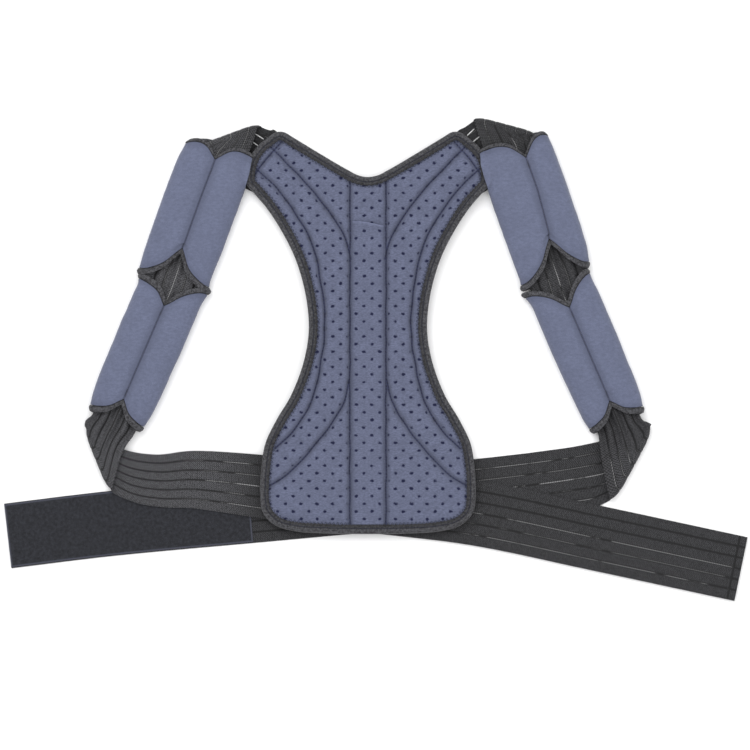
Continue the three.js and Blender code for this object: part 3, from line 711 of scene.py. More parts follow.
def make_panel():
    """Top height: puffs up with the distance d to the nearest seam or edge as 1 - exp(-d/8), sinks at
    the seams as a bell in d, and dips at each hole as a bell in the distance to it."""
    s = bpy.context.scene.brace_panel
    plan = panel_plan(180, 340)
    flat = plan.reshape(-1, 3)
    edge = to_outline(flat)
    seam = near_lines(flat, seam_lines())
    under_pocket = smooth((CHANNEL_HALF - abs(flat[:, 0])) / 2) * smooth((POCKET_TOP - flat[:, 1]) / 6)
    over_mouth = flat[:, 1] - POCKET_TOP
    free = smooth((edge - BINDING_WIDTH) / 7) * (1 - under_pocket)
    near = np.minimum(seam, np.maximum(edge - BINDING_WIDTH, 0))
    puff = s.puff / MM * (1 - np.exp(-near / 8)) * free
    soft = 0.22 * ripple(flat, 26, 3) * free
    sink = s.seam_depth / MM * bell(seam, 1.7) * (1 - under_pocket)
    pit = 1.9 * hole_dip(hole_pattern(flat)) * free
    top = flat.copy()
    top[:, 2] = PANEL_TOP - 0.25 + puff + soft * free - sink - pit
    top[:, 2] = np.where(edge < BINDING_WIDTH + 0.6, np.minimum(top[:, 2], PANEL_TOP), top[:, 2])
    bottom = flat.copy()
    bottom[:, 2] = PANEL_BOTTOM + 0.9 * bell(seam, 2.2) * free
    rim = np.clip((edge - 1.6) / 2.4, 0, 1)
    round_in = 2.4 * (1 - np.sqrt(1 - (1 - rim) ** 2))
    top[:, 2] -= round_in
    bottom[:, 2] += round_in
    points, quads = shell(top.reshape(plan.shape), bottom.reshape(plan.shape))
    open_here = (seam > 2.6) * 1.0 * (1 - under_pocket)
    # Painted shade above the pocket's raised mouth: the seam attribute is made small there, so the painted
    # shade beside the seams darkens it, fading upward
    shaded = (abs(flat[:, 0]) < CHANNEL_HALF - 1) & (abs(over_mouth) < 9)
    seam = np.where(shaded, np.minimum(seam, 1.9 + 0.5 * np.maximum(over_mouth, 0)), seam)
    attributes = {"seam": on_both(seam, seam + 2), "open": on_both(open_here, open_here * 0)}
    obj = put("quilted_back_panel", points, quads, panel_material(), ["back_panel"],
              attributes)


def make_pocket():
    """The layer over the channel: height is a low arch across, 1 - x^4, with small waves. Its free top
    edge waves as a cosine of x and lifts by a sine of x."""
    half = CHANNEL_HALF - 2.25 - TOUCH_GAP
    x = np.linspace(-1, 1, 45)[None, :]
    v = np.linspace(0, 1, 300)[:, None]
    wave = 1.5 * np.cos((x + 0.5) * 1.6) - 1.3 * x
    bottom = BINDING_WIDTH + TOUCH_GAP
    y = mix(bottom, POCKET_TOP + wave * smooth((v - 0.9) * 10), v)
    plan = np.stack([np.broadcast_to(x * half, y.shape), y, np.zeros_like(y)], -1)
    mouth = smooth((v - 0.975) / 0.025)
    arch = (1 - x**4) * (0.9 + 0.25 * ripple(plan, 22, 5)) * smooth(v * 40)
    lift = arch + mouth * (1.5 + 0.5 * np.sin(x * 5 + 1)) * (1 - x**4)
    base = PANEL_TOP + TOUCH_GAP
    pit = 1.1 * hole_dip(hole_pattern(plan)) * (abs(x) < 0.93)
    upper, lower = plan.copy(), plan.copy()
    upper[..., 2] = base + POCKET_THICKNESS - 0.2 + lift - pit
    lower[..., 2] = base + np.maximum(lift - 0.4, 0) * 0.9
    points, quads = shell(upper, lower)
    open_here = (abs(x) < 0.93) * 1.0 * (v < 0.985)
    attributes = {
        # The distance to the pocket's sides, which the material turns into painted shade beside them
        "seam": on_both(np.broadcast_to((1 - abs(x)) * half + 1.6, y.shape)),
        "open": on_both(open_here, open_here * 0),
        # Where the painted highlight on the mouth edge goes
        "rim": on_both(np.broadcast_to(smooth((v - 0.9955) / 0.003), y.shape)),
    }
    obj = put("channel_pocket", points, quads, bpy.data.materials["perforated panel fabric"],
              ["stay_pocket"], attributes)


# The panel's binding

def make_panel_binding():
    """A folded tape carried round the outline: a rounded U section of 27 points, its top lip arched, its
    inner edge puckered by a short sine where the zigzag stitches pull it in."""
    line = outline(BINDING_POINTS)
    side = left_of(tangents(line, closed=True))
    gone = np.arange(len(line)) / len(line)
    top_round, low_round = 2.6, 1.4
    outer_top = [(top_round - top_round * np.sin(t), LIP_TOP - top_round + top_round * np.cos(t))
                 for t in np.linspace(0, np.pi / 2, 8)]
    outer_low = [(low_round - low_round * np.cos(t), BINDING_BOTTOM + low_round - low_round * np.sin(t))
                 for t in np.linspace(0, np.pi / 2, 5)]
    lip = [(inward, LIP_TOP + rise) for inward, rise in (
        (BINDING_WIDTH, -1.25), (BINDING_WIDTH, -0.45), (BINDING_WIDTH - 0.5, -0.1), (8.6, -0.1),
        (7.2, -0.15), (6.4, -0.3), (TAPE_SEAM, -0.55), (5.0, -0.1), (4.2, 0.25), (3.3, 0.2))]
    inner = [(BINDING_WIDTH, BINDING_BOTTOM), (BINDING_WIDTH, BINDING_BOTTOM + BINDING_THICKNESS),
             (BINDING_THICKNESS, BINDING_BOTTOM + BINDING_THICKNESS),
             (BINDING_THICKNESS, LIP_TOP - BINDING_THICKNESS)]
    section = np.array(lip + outer_top + outer_low + inner)
    rows = np.repeat(section[None], len(line), 0)
    inward_share = np.clip(rows[..., 0] / BINDING_WIDTH, 0, 1)
    on_top = rows[..., 1] > LIP_TOP - 1.3
    rows[..., 0] += 0.5 * np.sin(gone * 2 * np.pi * 330)[:, None] * inward_share**4 * on_top
    rows[..., 0] += 0.35 * ripple(line, 40, 8)[:, None] * inward_share * on_top
    rows[..., 1] += 0.18 * ripple(line, 9, 9)[:, None] * on_top * (rows[..., 1] > LIP_TOP - 0.6)
    points = line[:, None] + side[:, None] * rows[..., :1]
    points[..., 2] = rows[..., 1]
    total = lengths(ring(line))[-1]
    along = np.repeat((gone * total)[:, None], len(section), 1)
    quads = grid_quads(len(line), len(section), ring=True, loop=True)
    inside = rows[..., 0]
    # Painted shade in the creases at the tape's stitch line and over its lower inner half
    crease_shade = (bell(inside - 5.6, 0.8) + 0.75 * smooth((inside - 6.4) / 1.2)) * on_top
    obj = put("panel_edge_binding", points.reshape(-1, 3), quads, binding_material(),
              ["panel_binding"], {"along": along.ravel(), "crease_shade": crease_shade.ravel()}, sharp=70)


def thread(places, runs, ups, length, radius):
    """Stitches: a tube of six square rings on each place, its height an arch along the run."""
    share = np.array([-0.5, -0.44, -0.17, 0.17, 0.44, 0.5])
    lift = np.array([-0.9, 0.1, 0.7, 0.7, 0.1, -0.9]) * radius
    wide = np.array([0.45, 0.9, 1, 1, 0.9, 0.45]) * radius
    side = np.cross(ups, runs)
    corner = np.array([(1, 0), (0, 1), (-1, 0), (0, -1)])
    centre = (places[:, None] + runs[:, None] * (share * length)[:, None]
              + ups[:, None] * lift[:, None])
    ring = (side[:, None, None] * corner[None, None, :, :1]
            + ups[:, None, None] * corner[None, None, :, 1:]) * wide[None, :, None, None]
    points = (centre[:, :, None] + ring).reshape(-1, 3)
    tube = grid_quads(len(share), len(corner), loop=True)
    size = len(share) * len(corner)
    caps = np.array([[3, 2, 1, 0], [size - 4, size - 3, size - 2, size - 1]])
    one = np.concatenate([tube, caps])
    quads = (one[None] + (np.arange(len(places)) * size)[:, None, None]).reshape(-1, 4)
    return points, quads


def joined(parts):
    """Several point and quad arrays as one."""
    points, quads, count = [], [], 0
    for p, q in parts:
        points.append(p)
        quads.append(q + count)
        count += len(p)
    return np.concatenate(points), np.concatenate(quads)


def stitches_on(line, step, length, radius, height, turn=0.0, closed=False):
    """Stitches every step along a line at a height, each turned by an angle, alternately each way."""
    count = max(int(lengths(line)[-1] / step), 2)
    at = spaced(line, count, closed)
    run = tangents(at, closed)
    angle = turn * (1 - 2 * (np.arange(len(at)) % 2))
    side = left_of(run)
    run = run * np.cos(angle)[:, None] + side * np.sin(angle)[:, None]
    at = at.copy()
    at[:, 2] = height
    up = np.tile([0.0, 0.0, 1.0], (len(at), 1))
    return thread(at, run, up, length, radius)


def make_stitching():
    """The row of stitches along the binding, the zigzag over its inner edge, and the seam stitches."""
    line = outline(BINDING_POINTS)
    parts = [
        stitches_on(inset(line, TAPE_SEAM), step=3.2, length=2.3, radius=0.36, height=LIP_TOP - 0.2,
                    closed=True),
        stitches_on(inset(line, BINDING_WIDTH + 0.6), step=2.1, length=3.9, radius=0.22,
                    height=LIP_TOP - 0.6, turn=1.05, closed=True),
    ]
    for seam in seam_lines():
        parts.append(stitches_on(seam, step=3.6, length=2.3, radius=0.28, height=PANEL_TOP - 1.55))
    points, quads = joined(parts)
    put("panel_stitching", points, quads, thread_material(), sharp=80)


# Straps

def heading(tilt):
    return np.array([math.sin(math.radians(tilt)), -math.cos(math.radians(tilt)), 0.0])


def lay_out(side):
    """Where a strap leaves the corner, folds, enters and leaves its pads and folds again, as if it were
    the right one."""
    tip = np.array([mix(NECK_TIP_HALF, CORNER_HALF, 0.5), PANEL_HEIGHT - CORNER_DROP / 2, 0])
    exit_run = np.array([math.cos(math.radians(side["exit"])), math.sin(math.radians(side["exit"])), 0])
    down = heading(side["upper"])
    outward = left_of(down)
    reach = (outline(PLAN_POINTS) @ outward).max()
    axis = reach + PAD_CLEAR + PAD_WIDTH / 2 * PAD_SHARE_AT_CORNER
    top_fold = tip + exit_run * (axis - tip @ outward) / (exit_run @ outward)
    upper_top = top_fold + down * side["top_run"]
    upper_end = upper_top + down * (UPPER_PAD_LENGTH + 2 * PAD_BINDING_LENGTH)
    lower_down = heading(side["lower"])
    lower_top = upper_end + down * side["gap"]
    lower_end = lower_top + lower_down * (LOWER_PAD_LENGTH + 2 * PAD_BINDING_LENGTH)
    tail = heading(side["tail_tilt"])
    low_fold = lower_end + tail * side["tail"]
    start = math.radians(side["belt_start"])
    belt = np.array([-math.cos(start), -math.sin(start), 0])
    return dict(tip=tip, exit=exit_run, down=down, top_fold=top_fold, upper_top=upper_top,
                upper_end=upper_end, lower_down=lower_down, lower_top=lower_top,
                lower_end=lower_end, tail=tail, low_fold=low_fold, belt=belt)


PLACES = {name: lay_out(side) for name, side in SIDES.items()}
UP = np.array([0.0, 0.0, 1.0])
PLEATS = 4


def matched(vector, like):
    return -vector if vector @ like < 0 else vector


def at_level(point, z):
    return np.array([point[0], point[1], z])


def row(middle, z, across, face, width, pleat=0.0, over=0.0, spread=0.0, bow=(0, 0)):
    """A strap's cross row as numbers: middle, unit vector across, face vector, width, pleat depth, whether
    it lies over the panel's corner, how far its inner edge spreads, and how its ends bow in plan."""
    return np.concatenate([at_level(middle, z), across, face, [width, pleat, over, spread, *bow]])


def pleat_depth(width):
    """Depth of the pleats that take the strap's full width into a narrower one, by Pythagoras."""
    fold = STRAP_WIDTH / (2 * PLEATS)
    seen = min(width / (2 * PLEATS), fold)
    return math.sqrt(fold * fold - seen * seen)


def fold_rows(centre, run_in, run_out, start_z, end_z, width, face, bend=0.0, spread=0.0):
    """Half a turn about the fold line from one level to the other. Its ends bow back by bend."""
    line = unit(run_in + run_out)
    out = matched(left_of(line), run_in)
    across = matched(np.cross(out, UP), line)
    radius = abs(end_z - start_z) / 2
    rise = np.sign(end_z - start_z)
    row_length = width / abs(np.cross(run_in, line)[2])
    rows = []
    for turn in np.linspace(0, np.pi, 9):
        bow = -out[:2] * bend * math.sin(turn)
        middle = centre + out * radius * (math.sin(turn) - 1)
        z = (start_z + end_z) / 2 - rise * radius * math.cos(turn)
        normal = UP * math.cos(turn) * face - out * math.sin(turn) * rise * face
        over = turn / np.pi if spread else 0
        rows.append(row(middle, z, across, normal, row_length, 0, over, spread * over**2, bow))
    return rows


def between(first, last, shares, even=False):
    """Rows on the way from one to another, blended by smoothstep, or evenly."""
    rows = []
    for share in shares:
        ease = share if even else float(smooth(share))
        new = mix(first, last, ease)
        new[:2] = mix(first[:2], last[:2], share)
        new[3:6] = unit(new[3:6])
        new[6:9] = first[6:9]
        rows.append(new)
    return rows


def turn_across(rows, like):
    """Turns each row's vector across, where need be, to the same side as another vector."""
    for item in rows:
        item[3:6] = matched(item[3:6], like)


def shoulder_rows(side, place, belt_z):
    """The strap's rows from its sewn end under the corner to its lower fold."""
    exit_row = left_of(place["exit"])
    start = row(place["tip"] - place["exit"] * STRAP_TUCK, OVER_PATCH_LEVEL, exit_row, UP, TUCK_WIDTH)
    corner = row(place["tip"], BELOW_LEVEL, exit_row, UP, STRAP_WIDTH)
    line = unit(place["exit"] + place["down"])
    centre = place["top_fold"] - line * side["fold_shift"]
    top = fold_rows(centre, place["exit"], place["down"], BELOW_LEVEL, PAD_MIDDLE, side["fold_width"], 1,
                    3.5, side["edge"])
    turn_across(top, exit_row)
    down, lower_down, tail_run = place["down"], place["lower_down"], place["tail"]
    gap_run = unit(down + lower_down)

    def pad_row(point, run, on, width=BUNCHED_WIDTH, over=0.0, spread=0.0):
        depth = pleat_depth(width) * (1 - 0.8 * over)
        across = matched(left_of(run), top[-1][3:6])
        return row(place[point] + run * on, PAD_MIDDLE, across, -UP, width, depth, over, spread)

    stops = [
        pad_row("upper_top", down, 0, over=1.0, spread=side["spread"]),
        pad_row("upper_top", down, 45, over=0.5),
        pad_row("upper_end", down, -25),
        pad_row("upper_end", down, -6, GAP_WIDTH - 3),
        pad_row("upper_end", gap_run, side["gap"] / 2, GAP_WIDTH),
        pad_row("lower_top", lower_down, 6, GAP_WIDTH - 3),
        pad_row("lower_top", lower_down, 25),
        pad_row("lower_end", lower_down, -10),
        pad_row("lower_end", tail_run, side["tail"] * 0.12),
    ]
    low = fold_rows(place["low_fold"], tail_run, place["belt"], PAD_MIDDLE, belt_z, side["low_width"],
                    -1, 6.0)
    turn_across(low, stops[-1][3:6])
    shares = [0.25, 0.5, 0.75]
    tail = between(stops[-1], low[0], shares, even=True)
    for item, share in zip(tail, shares):
        item[12] = -side["pinch"] * math.sin(math.pi * share)
    return [start, *between(start, corner, [0.5]), corner, *between(corner, top[0], [0.33, 0.67]), *top,
            *between(top[-1], stops[0], [0.5]), *stops, *tail, *low]


# Places on each belt's middle line: share of the way out to the fold or, if negative, to the belt's
# end, and share of the rise to it
LEFT_MIDS = [(0.8, 0.54), (0.62, 0.5), (0.4, 0.34), (0, 0), (-0.29, 0.19), (-0.62, 0.56)]
RIGHT_MIDS = [(0.85, 0.7), (0.4, 0.24), (0, 0), (-0.3, 0.27), (-0.72, 0.66)]


def belt_line(place, mids, end):
    """The belt's middle line in plan, from the fold through the places in mids to its end."""
    points = [place["low_fold"][:2]]
    for share, rise in mids:
        x = place["low_fold"][0] * share if share >= 0 else -share * end[0]
        goal = place["low_fold"][1] if share >= 0 else end[1]
        points.append((x, mix(CROSS_HEIGHT, goal, rise)))
    points.append(end)
    points = np.array(points, float)
    return curve(np.column_stack([points, np.zeros(len(points))]), steps=24)


def left_levels(x):
    """The left belt's level: over the patch's level until it has passed the panel."""
    high, low = HIP_HALF + 4, HIP_HALF - 60
    return mix(ABOVE_LEVEL, OVER_PATCH_LEVEL, float(smooth((x - low) / (high - low))))


def belt_rows(first, line, start_width, levels, count, pinch=0.0):
    """Rows down the belt, square to it once the fold's slant has faded out. Near the fold the upper edge
    is drawn in by a bell in the distance."""
    at = spaced(line, count + 1)
    run = tangents(spaced(line, 8 * count + 1))[::8]
    rows = []
    for i in range(1, count + 1):
        share = i / count
        square = matched(left_of(run[i]), first[3:6])
        across = unit(mix(first[3:6], square, float(smooth(min(share * 5, 1)))))
        width = mix(start_width, STRAP_WIDTH, float(smooth(min(share * 3, 1)))) / abs(across @ square)
        drawn = pinch * bell(share - 0.05, 0.05)
        rows.append(row(at[i] + across * drawn / 2, levels(at[i][0]), across, UP, width - drawn))
    return rows


BELTS = {
    "left": belt_line(PLACES["left"], LEFT_MIDS, RIGHT_END),
    "right": belt_line(PLACES["right"], RIGHT_MIDS, LEFT_END),
}


def over_corner(points, share=1.0):
    """Lifts what overlaps the panel's corner to lie on it: with d the distance outside the outline, the
    height goes from z at d = 5 to a thin layer on the binding, LIP_TOP + 0.25 + 0.27 z, at d = 0."""
    flat = points.reshape(-1, 3)
    away = to_outline(flat)
    away = np.where(in_outline(flat, outline(DISTANCE_POINTS)), -away, away)
    lift = (smooth((5 - away) / 5) * (flat[:, 1] > WAIST_HEIGHT)).reshape(points.shape[:-1]) * share
    out = points.copy()
    out[..., 2] = mix(points[..., 2], LIP_TOP + 0.25 + 0.27 * points[..., 2], lift)
    return out


def in_outline(points, line):
    """Whether each point lies in the closed line: an odd number of its edges pass to the right."""
    following = np.roll(line, -1, 0)
    x, y = points[:, :1], points[:, 1:2]
    spans = (line[None, :, 1] > y) != (following[None, :, 1] > y)
    rise = following[:, 1] - line[:, 1]
    slope = (following[:, 0] - line[:, 0]) / np.where(abs(rise) < 1e-9, 1e-9, rise)
    cut = line[None, :, 0] + (y - line[None, :, 1]) * slope[None]
    return (spans & (x < cut)).sum(1) % 2 == 1


def strap_rows(name):
    side, place = SIDES[name], PLACES[name]
    belt_z = OVER_PATCH_LEVEL if name == "left" else BELOW_LEVEL
    levels = left_levels if name == "left" else (lambda x: BELOW_LEVEL)
    shoulder = shoulder_rows(side, place, belt_z)
    return shoulder, belt_rows(shoulder[-1], BELTS[name], side["low_width"], levels, 20,
                               side["belt_pinch"])


def strap_surface(name, spacing=1.6, columns=57):
    """The strap as two grids, with the material's attributes and the strap's length. Across it the lift
    is pleat depth times a rounded zigzag, and each of its five lines is a shallow groove; the two faces
    lie half a thickness either side."""
    side = SIDES[name]
    shoulder, belt = strap_rows(name)
    rows = np.array(shoulder + belt)
    dense = curve(rows, steps=14)
    gone = lengths(dense)
    rows = spaced(dense, int(gone[-1] / spacing))
    along = lengths(rows)
    middle, across, face = rows[:, :3], unit(rows[:, 3:6]), unit(rows[:, 6:9])
    width, pleat = rows[:, 9:10], np.maximum(rows[:, 10:11], 0)
    v = np.linspace(-1, 1, columns)[None]
    s = bpy.context.scene.brace_straps
    phase = v * PLEATS
    zigzag = -np.cos(phase * np.pi) * (0.5 - 0.1 * np.cos(2 * phase * np.pi))
    edge = smooth((1 - abs(v)) * 5)
    drift = 1 + 0.25 * np.sin(along[:, None] / 17 + v * 3)
    lift = pleat * zigzag * edge * np.minimum(drift, 1.1)
    over, spread, bow = rows[:, 11:12], rows[:, 12:13], rows[:, 13:15]
    to_line = abs(v[..., None] - STRAP_LINES).min(-1) * STRAP_WIDTH / 2
    to_line = np.broadcast_to(to_line, lift.shape)
    if name == "left":
        to_line = np.minimum(to_line, abs(along[-1] - along[:, None] - HEM_SEAM) * 0.8 + 0.2)
    groove = 0.45 * bell(to_line, 0.9)
    half = STRAP_THICKNESS / 2
    rim = 0.55 * smooth((abs(v) - 0.965) / 0.035)
    thick = half - groove - rim
    base = middle[:, None] + across[:, None] * (v[..., None] * width[:, None] / 2)
    base = base + across[:, None] * (spread * smooth((v + 0.3) / 1.3))[..., None]
    base[..., :2] += bow[:, None] * (v**6)[..., None]
    flip = np.array([side["sign"], 1, 1])
    upper = over_corner((base + face[:, None] * (lift + thick)[..., None]) * flip, over)
    lower = over_corner((base + face[:, None] * (lift - thick)[..., None]) * flip, over)
    x, y = upper[..., 0], upper[..., 1]
    belt = smooth((95 - y) / 20)
    gap_low, gap_high = GAP_RANGE
    at_gap = smooth((y - gap_low) / 20) * smooth((gap_high - y) / 20)
    # Painted highlights where the clear filaments glint, and painted sheen that makes the cloth paler along
    # stretches of the belts and in the gap between the pads
    if name == "right":
        painted_glint = smooth((x - 100) / 20) * 0.9
        pale = smooth((x - 230) / 60) * 0.3
    else:
        lower_lines = smooth((0.2 + v) / 0.3) * 0.75
        painted_glint = smooth((x + 215) / 80) * smooth((-90 - x) / 10) + smooth((x - 90) / 30) * lower_lines
        pale = smooth((-112 - x) / 60) * 0.8
    in_gap = at_gap * smooth((0.5 - abs(v)) / 0.2)
    painted_glint = mix(0.65 * smooth((y - 380) / 20) + 0.9 * in_gap, painted_glint, belt) * s.glint
    painted_glint = painted_glint * smooth((along[-1] - along[:, None] - HEM_SEAM - 1) / 2)
    pale = pale + 0.25 * at_gap
    attributes = {
        "along": np.broadcast_to(along[:, None], lift.shape),
        "across": np.broadcast_to(v * STRAP_WIDTH / 2, lift.shape),
        "line": to_line,
        "painted_glint": painted_glint,
        "pale": pale,
    }
    return upper, lower, attributes, along[-1]


# The clear filaments seen in the straps' slits beside the panel's corners: ends in plan, and height
FILAMENTS = [
    ((-123.1, 435.2), (-112.3, 428.2), 2.6), ((-127.4, 427.1), (-119.9, 422.2), 2.6),
    ((106.5, 431.8), (116.4, 441.1), 2.6), ((113.6, 425.6), (120.2, 431.1), 2.6),
]


def make_filaments():
    """Short clear filaments over the slits: thin tubes with an arched height."""
    ends = np.array([[(*a, z), (*b, z)] for a, b, z in FILAMENTS], float)
    run = ends[:, 1] - ends[:, 0]
    up = np.tile([0.0, 0.0, 1.0], (len(ends), 1))
    size = float(np.linalg.norm(run, axis=1).mean())
    points, quads = thread(ends.mean(1), unit(run), up, size, radius=0.55)
    put("strap_filaments", points, quads, filament_glint_material())


def make_straps():
    make_filaments()
    material = webbing_material()
    for name in ("left", "right"):
        upper, lower, attributes, length = strap_surface(name)
        points, quads = shell(upper, lower)
        doubled = {key: on_both(values) for key, values in attributes.items()}
        obj = put(f"{name}_elastic_strap", points, quads, material, [f"{name}_strap"], doubled)


def patch_grid(belt, length, width, columns, rows, sign):
    """The last stretch of a belt as a grid in plan."""
    whole, fine = lengths(belt)[-1], 4000
    first = int((whole - length - TOUCH_GAP) / whole * fine)
    part = spaced(spaced(belt, fine + 1)[first:], rows)
    side = left_of(tangents(part))
    v = np.linspace(-1, 1, columns)[None, :, None]
    grid = part[:, None] + side[:, None] * v * width / 2
    return grid * np.array([sign, 1, 1])


def make_patches():
    """Each patch is a thin slab on the belt: its top is roughened by two scales of ripple, and it is
    rounded down at its edges."""
    grid = patch_grid(BELTS["right"], *LOOP_PATCH, columns=90, rows=340, sign=1)
    u = np.linspace(0, LOOP_PATCH[0], grid.shape[0])[:, None]
    v = np.linspace(0, LOOP_PATCH[1], grid.shape[1])[None]
    edge = np.minimum(np.minimum(u, LOOP_PATCH[0] - u), np.minimum(v, LOOP_PATCH[1] - v))
    nap = 0.16 * ripple(grid, 4, 11) + 0.1 * ripple(grid, 2.4, 12)
    upper, lower = grid.copy(), grid.copy()
    relief = (nap + 0.1) * smooth(edge / 2) - 0.6 * np.exp(-edge)
    upper[..., 2] = PATCH_LEVEL + PATCH_THICKNESS - 0.3 + relief
    lower[..., 2] = PATCH_LEVEL
    points, quads = shell(upper, lower)
    obj = put("loop_pile_patch", points, quads, pile_material(), ["loop_patch"],
              {"edge": on_both(edge)})
    grid = patch_grid(BELTS["left"], *HOOK_PATCH, columns=60, rows=70, sign=-1)
    upper, lower = grid.copy(), grid.copy()
    upper[..., 2] = PATCH_THICKNESS
    lower[..., 2] = 0.12 * (1 + ripple(grid, 2, 13)) * 0.5
    points, quads = shell(upper, lower)
    obj = put("hook_tape_patch", points, quads, hook_material(), ["hook_patch"])


# Pads

# The wall's section from one lobe's tip round to the underside's middle: outer and inner shares
WALL = np.array([
    (0.005, 0.93, 0.005, 1), (0.1, 0.965, 0.14, 1), (0.35, 1, 0.45, 1), (0.7, 0.95, 0.82, 1),
    (0.92, 0.76, 0.97, 0.72), (1, 0.48, 1, 0.5), (0.93, 0.17, 1, 0.25), (0.76, 0, 0.86, 0), (0, 0, 0, 0),
])
# Along a pad: share of its length, its width, its height and the notch between its lobes
STATIONS = np.array([
    (0, 0.95, 0.92, 1), (0.05, 0.965, 0.95, 0.85), (0.13, 0.98, 1, 0.55), (0.36, 1, 1, 0), (0.5, 1, 1, 0),
    (0.72, 1, 1, 0), (0.87, 0.985, 1, 0.55), (0.95, 0.97, 0.95, 0.85), (1, 0.95, 0.92, 1),
])
NOTCH_SHARE = np.array([1, 0.82, 0.36, 0.08, 0, 0, 0, 0, 0])
PAD_SHAPES = {
    "upper": dict(length=UPPER_PAD_LENGTH, width=(0.93, 1.03), notch=(17, 27),
                  toe=STRAP_THICKNESS + 2 * TOUCH_GAP),
    "lower": dict(length=LOWER_PAD_LENGTH, width=(0.95, 0.88), notch=(18, 19), toe=0.0),
}


def section_curve(count):
    """The wall's section as smooth shares round the pad: outer across and up, inner across and up, and
    the share of the notch, from the right lobe's tip under the pad to the left lobe's tip."""
    outer = WALL[:, :2] * (PAD_WIDTH / 2, PAD_HEIGHT)
    table = np.column_stack([outer, np.zeros(len(WALL)), WALL[:, 2:], NOTCH_SHARE])
    dense = spaced(curve(table, steps=16), count)
    return dense[:, [0, 1, 3, 4, 5]] / (PAD_WIDTH / 2, PAD_HEIGHT, 1, 1, 1)


def pad_rings(shape, at, rest=0.0, count=44):
    """The pad's outer and inner grids in its own frame: x across, y back along it, z up. The section is
    scaled by the width and height at each station, and slides along by the notch."""
    half = section_curve(count)
    width = PAD_WIDTH * np.interp(at, STATIONS[:, 0], STATIONS[:, 1]) * mix(*shape["width"], at)
    height = PAD_HEIGHT * np.interp(at, STATIONS[:, 0], STATIONS[:, 2])
    notch = np.interp(at, STATIONS[:, 0], STATIONS[:, 3])
    deep = np.where(at < 0.5, shape["notch"][0], -shape["notch"][1]) * smooth(notch)
    lift = np.maximum(rest, shape["toe"] * (1 - smooth((at - 0.36) / 0.14)))
    hollow = (PAD_HEIGHT - 2 * PAD_WALL) / 2
    y = -shape["length"] * at[:, None] - deep[:, None] * half[None, :, 4]
    out_x = half[None, :, 0] * width[:, None] / 2
    out_z = np.maximum(half[None, :, 1] * height[:, None], lift[:, None])
    in_x = half[None, :, 2] * (width[:, None] / 2 - PAD_SIDE_WALL)
    in_z = np.broadcast_to(mix(PAD_MIDDLE - hollow, PAD_MIDDLE + hollow, half[None, :, 3]), y.shape)

    def both(x, z):
        right = np.stack([x, y, z], -1)
        left = right[:, :-1][:, ::-1] * (-1, 1, 1)
        return np.concatenate([right, left], 1)

    return both(out_x, out_z), both(in_x, in_z)


def pad_frames():
    """For each pad: its name, its shape, and its place and turn in the plan."""
    for name, side in SIDES.items():
        place = PLACES[name]
        for part, start, run, tilt in (("upper", "upper_top", "down", "upper"),
                                       ("lower", "lower_top", "lower_down", "lower")):
            origin = place[start] + place[run] * PAD_BINDING_LENGTH
            origin = origin * (side["sign"], 1, 1)
            angle = side["sign"] * math.radians(side[tilt])
            turn = np.array([[math.cos(angle), -math.sin(angle), 0],
                             [math.sin(angle), math.cos(angle), 0], [0, 0, 1]])
            yield f"{name}_{part}_pad", PAD_SHAPES[part], origin, turn


def widened(points, at, name, shape):
    """The upper pads as they lie: the inner edge moves in and the outer edge out by amounts blended along
    the pad, and the centre seam moves out by a parabola that is zero at both edges."""
    side = SIDES[name.split("_")[0]]
    if "upper" not in name:
        return points
    half = PAD_WIDTH / 2 * mix(*shape["width"], at)[:, None]
    reach = points[..., 0] / half * side["sign"]
    inner = mix(*side["inner"], at)[:, None] * (1 - reach) / 2
    outer = mix(*side["outer"], at)[:, None] * (1 + reach) / 2
    seam = np.interp(at, (0, 0.4, 1), side["seam"])[:, None] * np.clip(1 - reach**2, 0, 1)
    out = points.copy()
    out[..., 0] += side["sign"] * (outer - inner + seam)
    raise_in, raise_out, raise_mid = side["lift"]
    arc = 5 * np.sin(np.pi * np.clip(abs(reach), 0, 1))
    peak = raise_mid * np.clip(1 - abs(reach), 0, 1) ** 1.5
    rise = mix(raise_in, raise_out, (1 + reach) / 2) + peak + arc
    out[..., 1] += rise * (np.clip(1 - at / 0.3, 0, 1) ** 2)[:, None]
    return out


def to_eye(points, away, name):
    """How far the corners beside the gap between a side's two pads move: the side's amounts across and
    along at each corner, faded as squares over the distance from the gap. The move across is nearly all
    in the binding, whose distance is negative."""
    side, part = name.split("_")[:2]
    reach = points[..., :1] / (PAD_WIDTH / 2)
    along_fade = (np.clip(1 - away / EYE_FADE_ALONG, 0, 1) ** 2)[:, None, None]
    across_fade = (np.clip((EYE_START_ACROSS - away) / EYE_FADE_ACROSS, 0, 1) ** 2)[:, None, None]
    moved = np.zeros_like(points)
    for sign, (across, along) in zip((-1, 1), SIDES[side]["eye"][part]):
        moved[..., :1] += smooth((sign * reach - 0.35) / 0.6) * across * across_fade
        moved[..., 1:2] += smooth((sign * reach - 0.08) / 0.8) * along * along_fade
    return moved


def laid(wall, at, pad, beyond=0.0):
    """A grid of a pad's own frame moved to its place in the plan, with the corners as they lie. beyond is
    how far each row lies past the pad's end, towards the gap."""
    name, shape, origin, turn = pad
    away = (1 - at if "upper" in name else at) * shape["length"] - beyond
    lying = widened(wall, at, name, shape) + to_eye(wall, away, name)
    return over_corner(lying @ turn.T + origin)


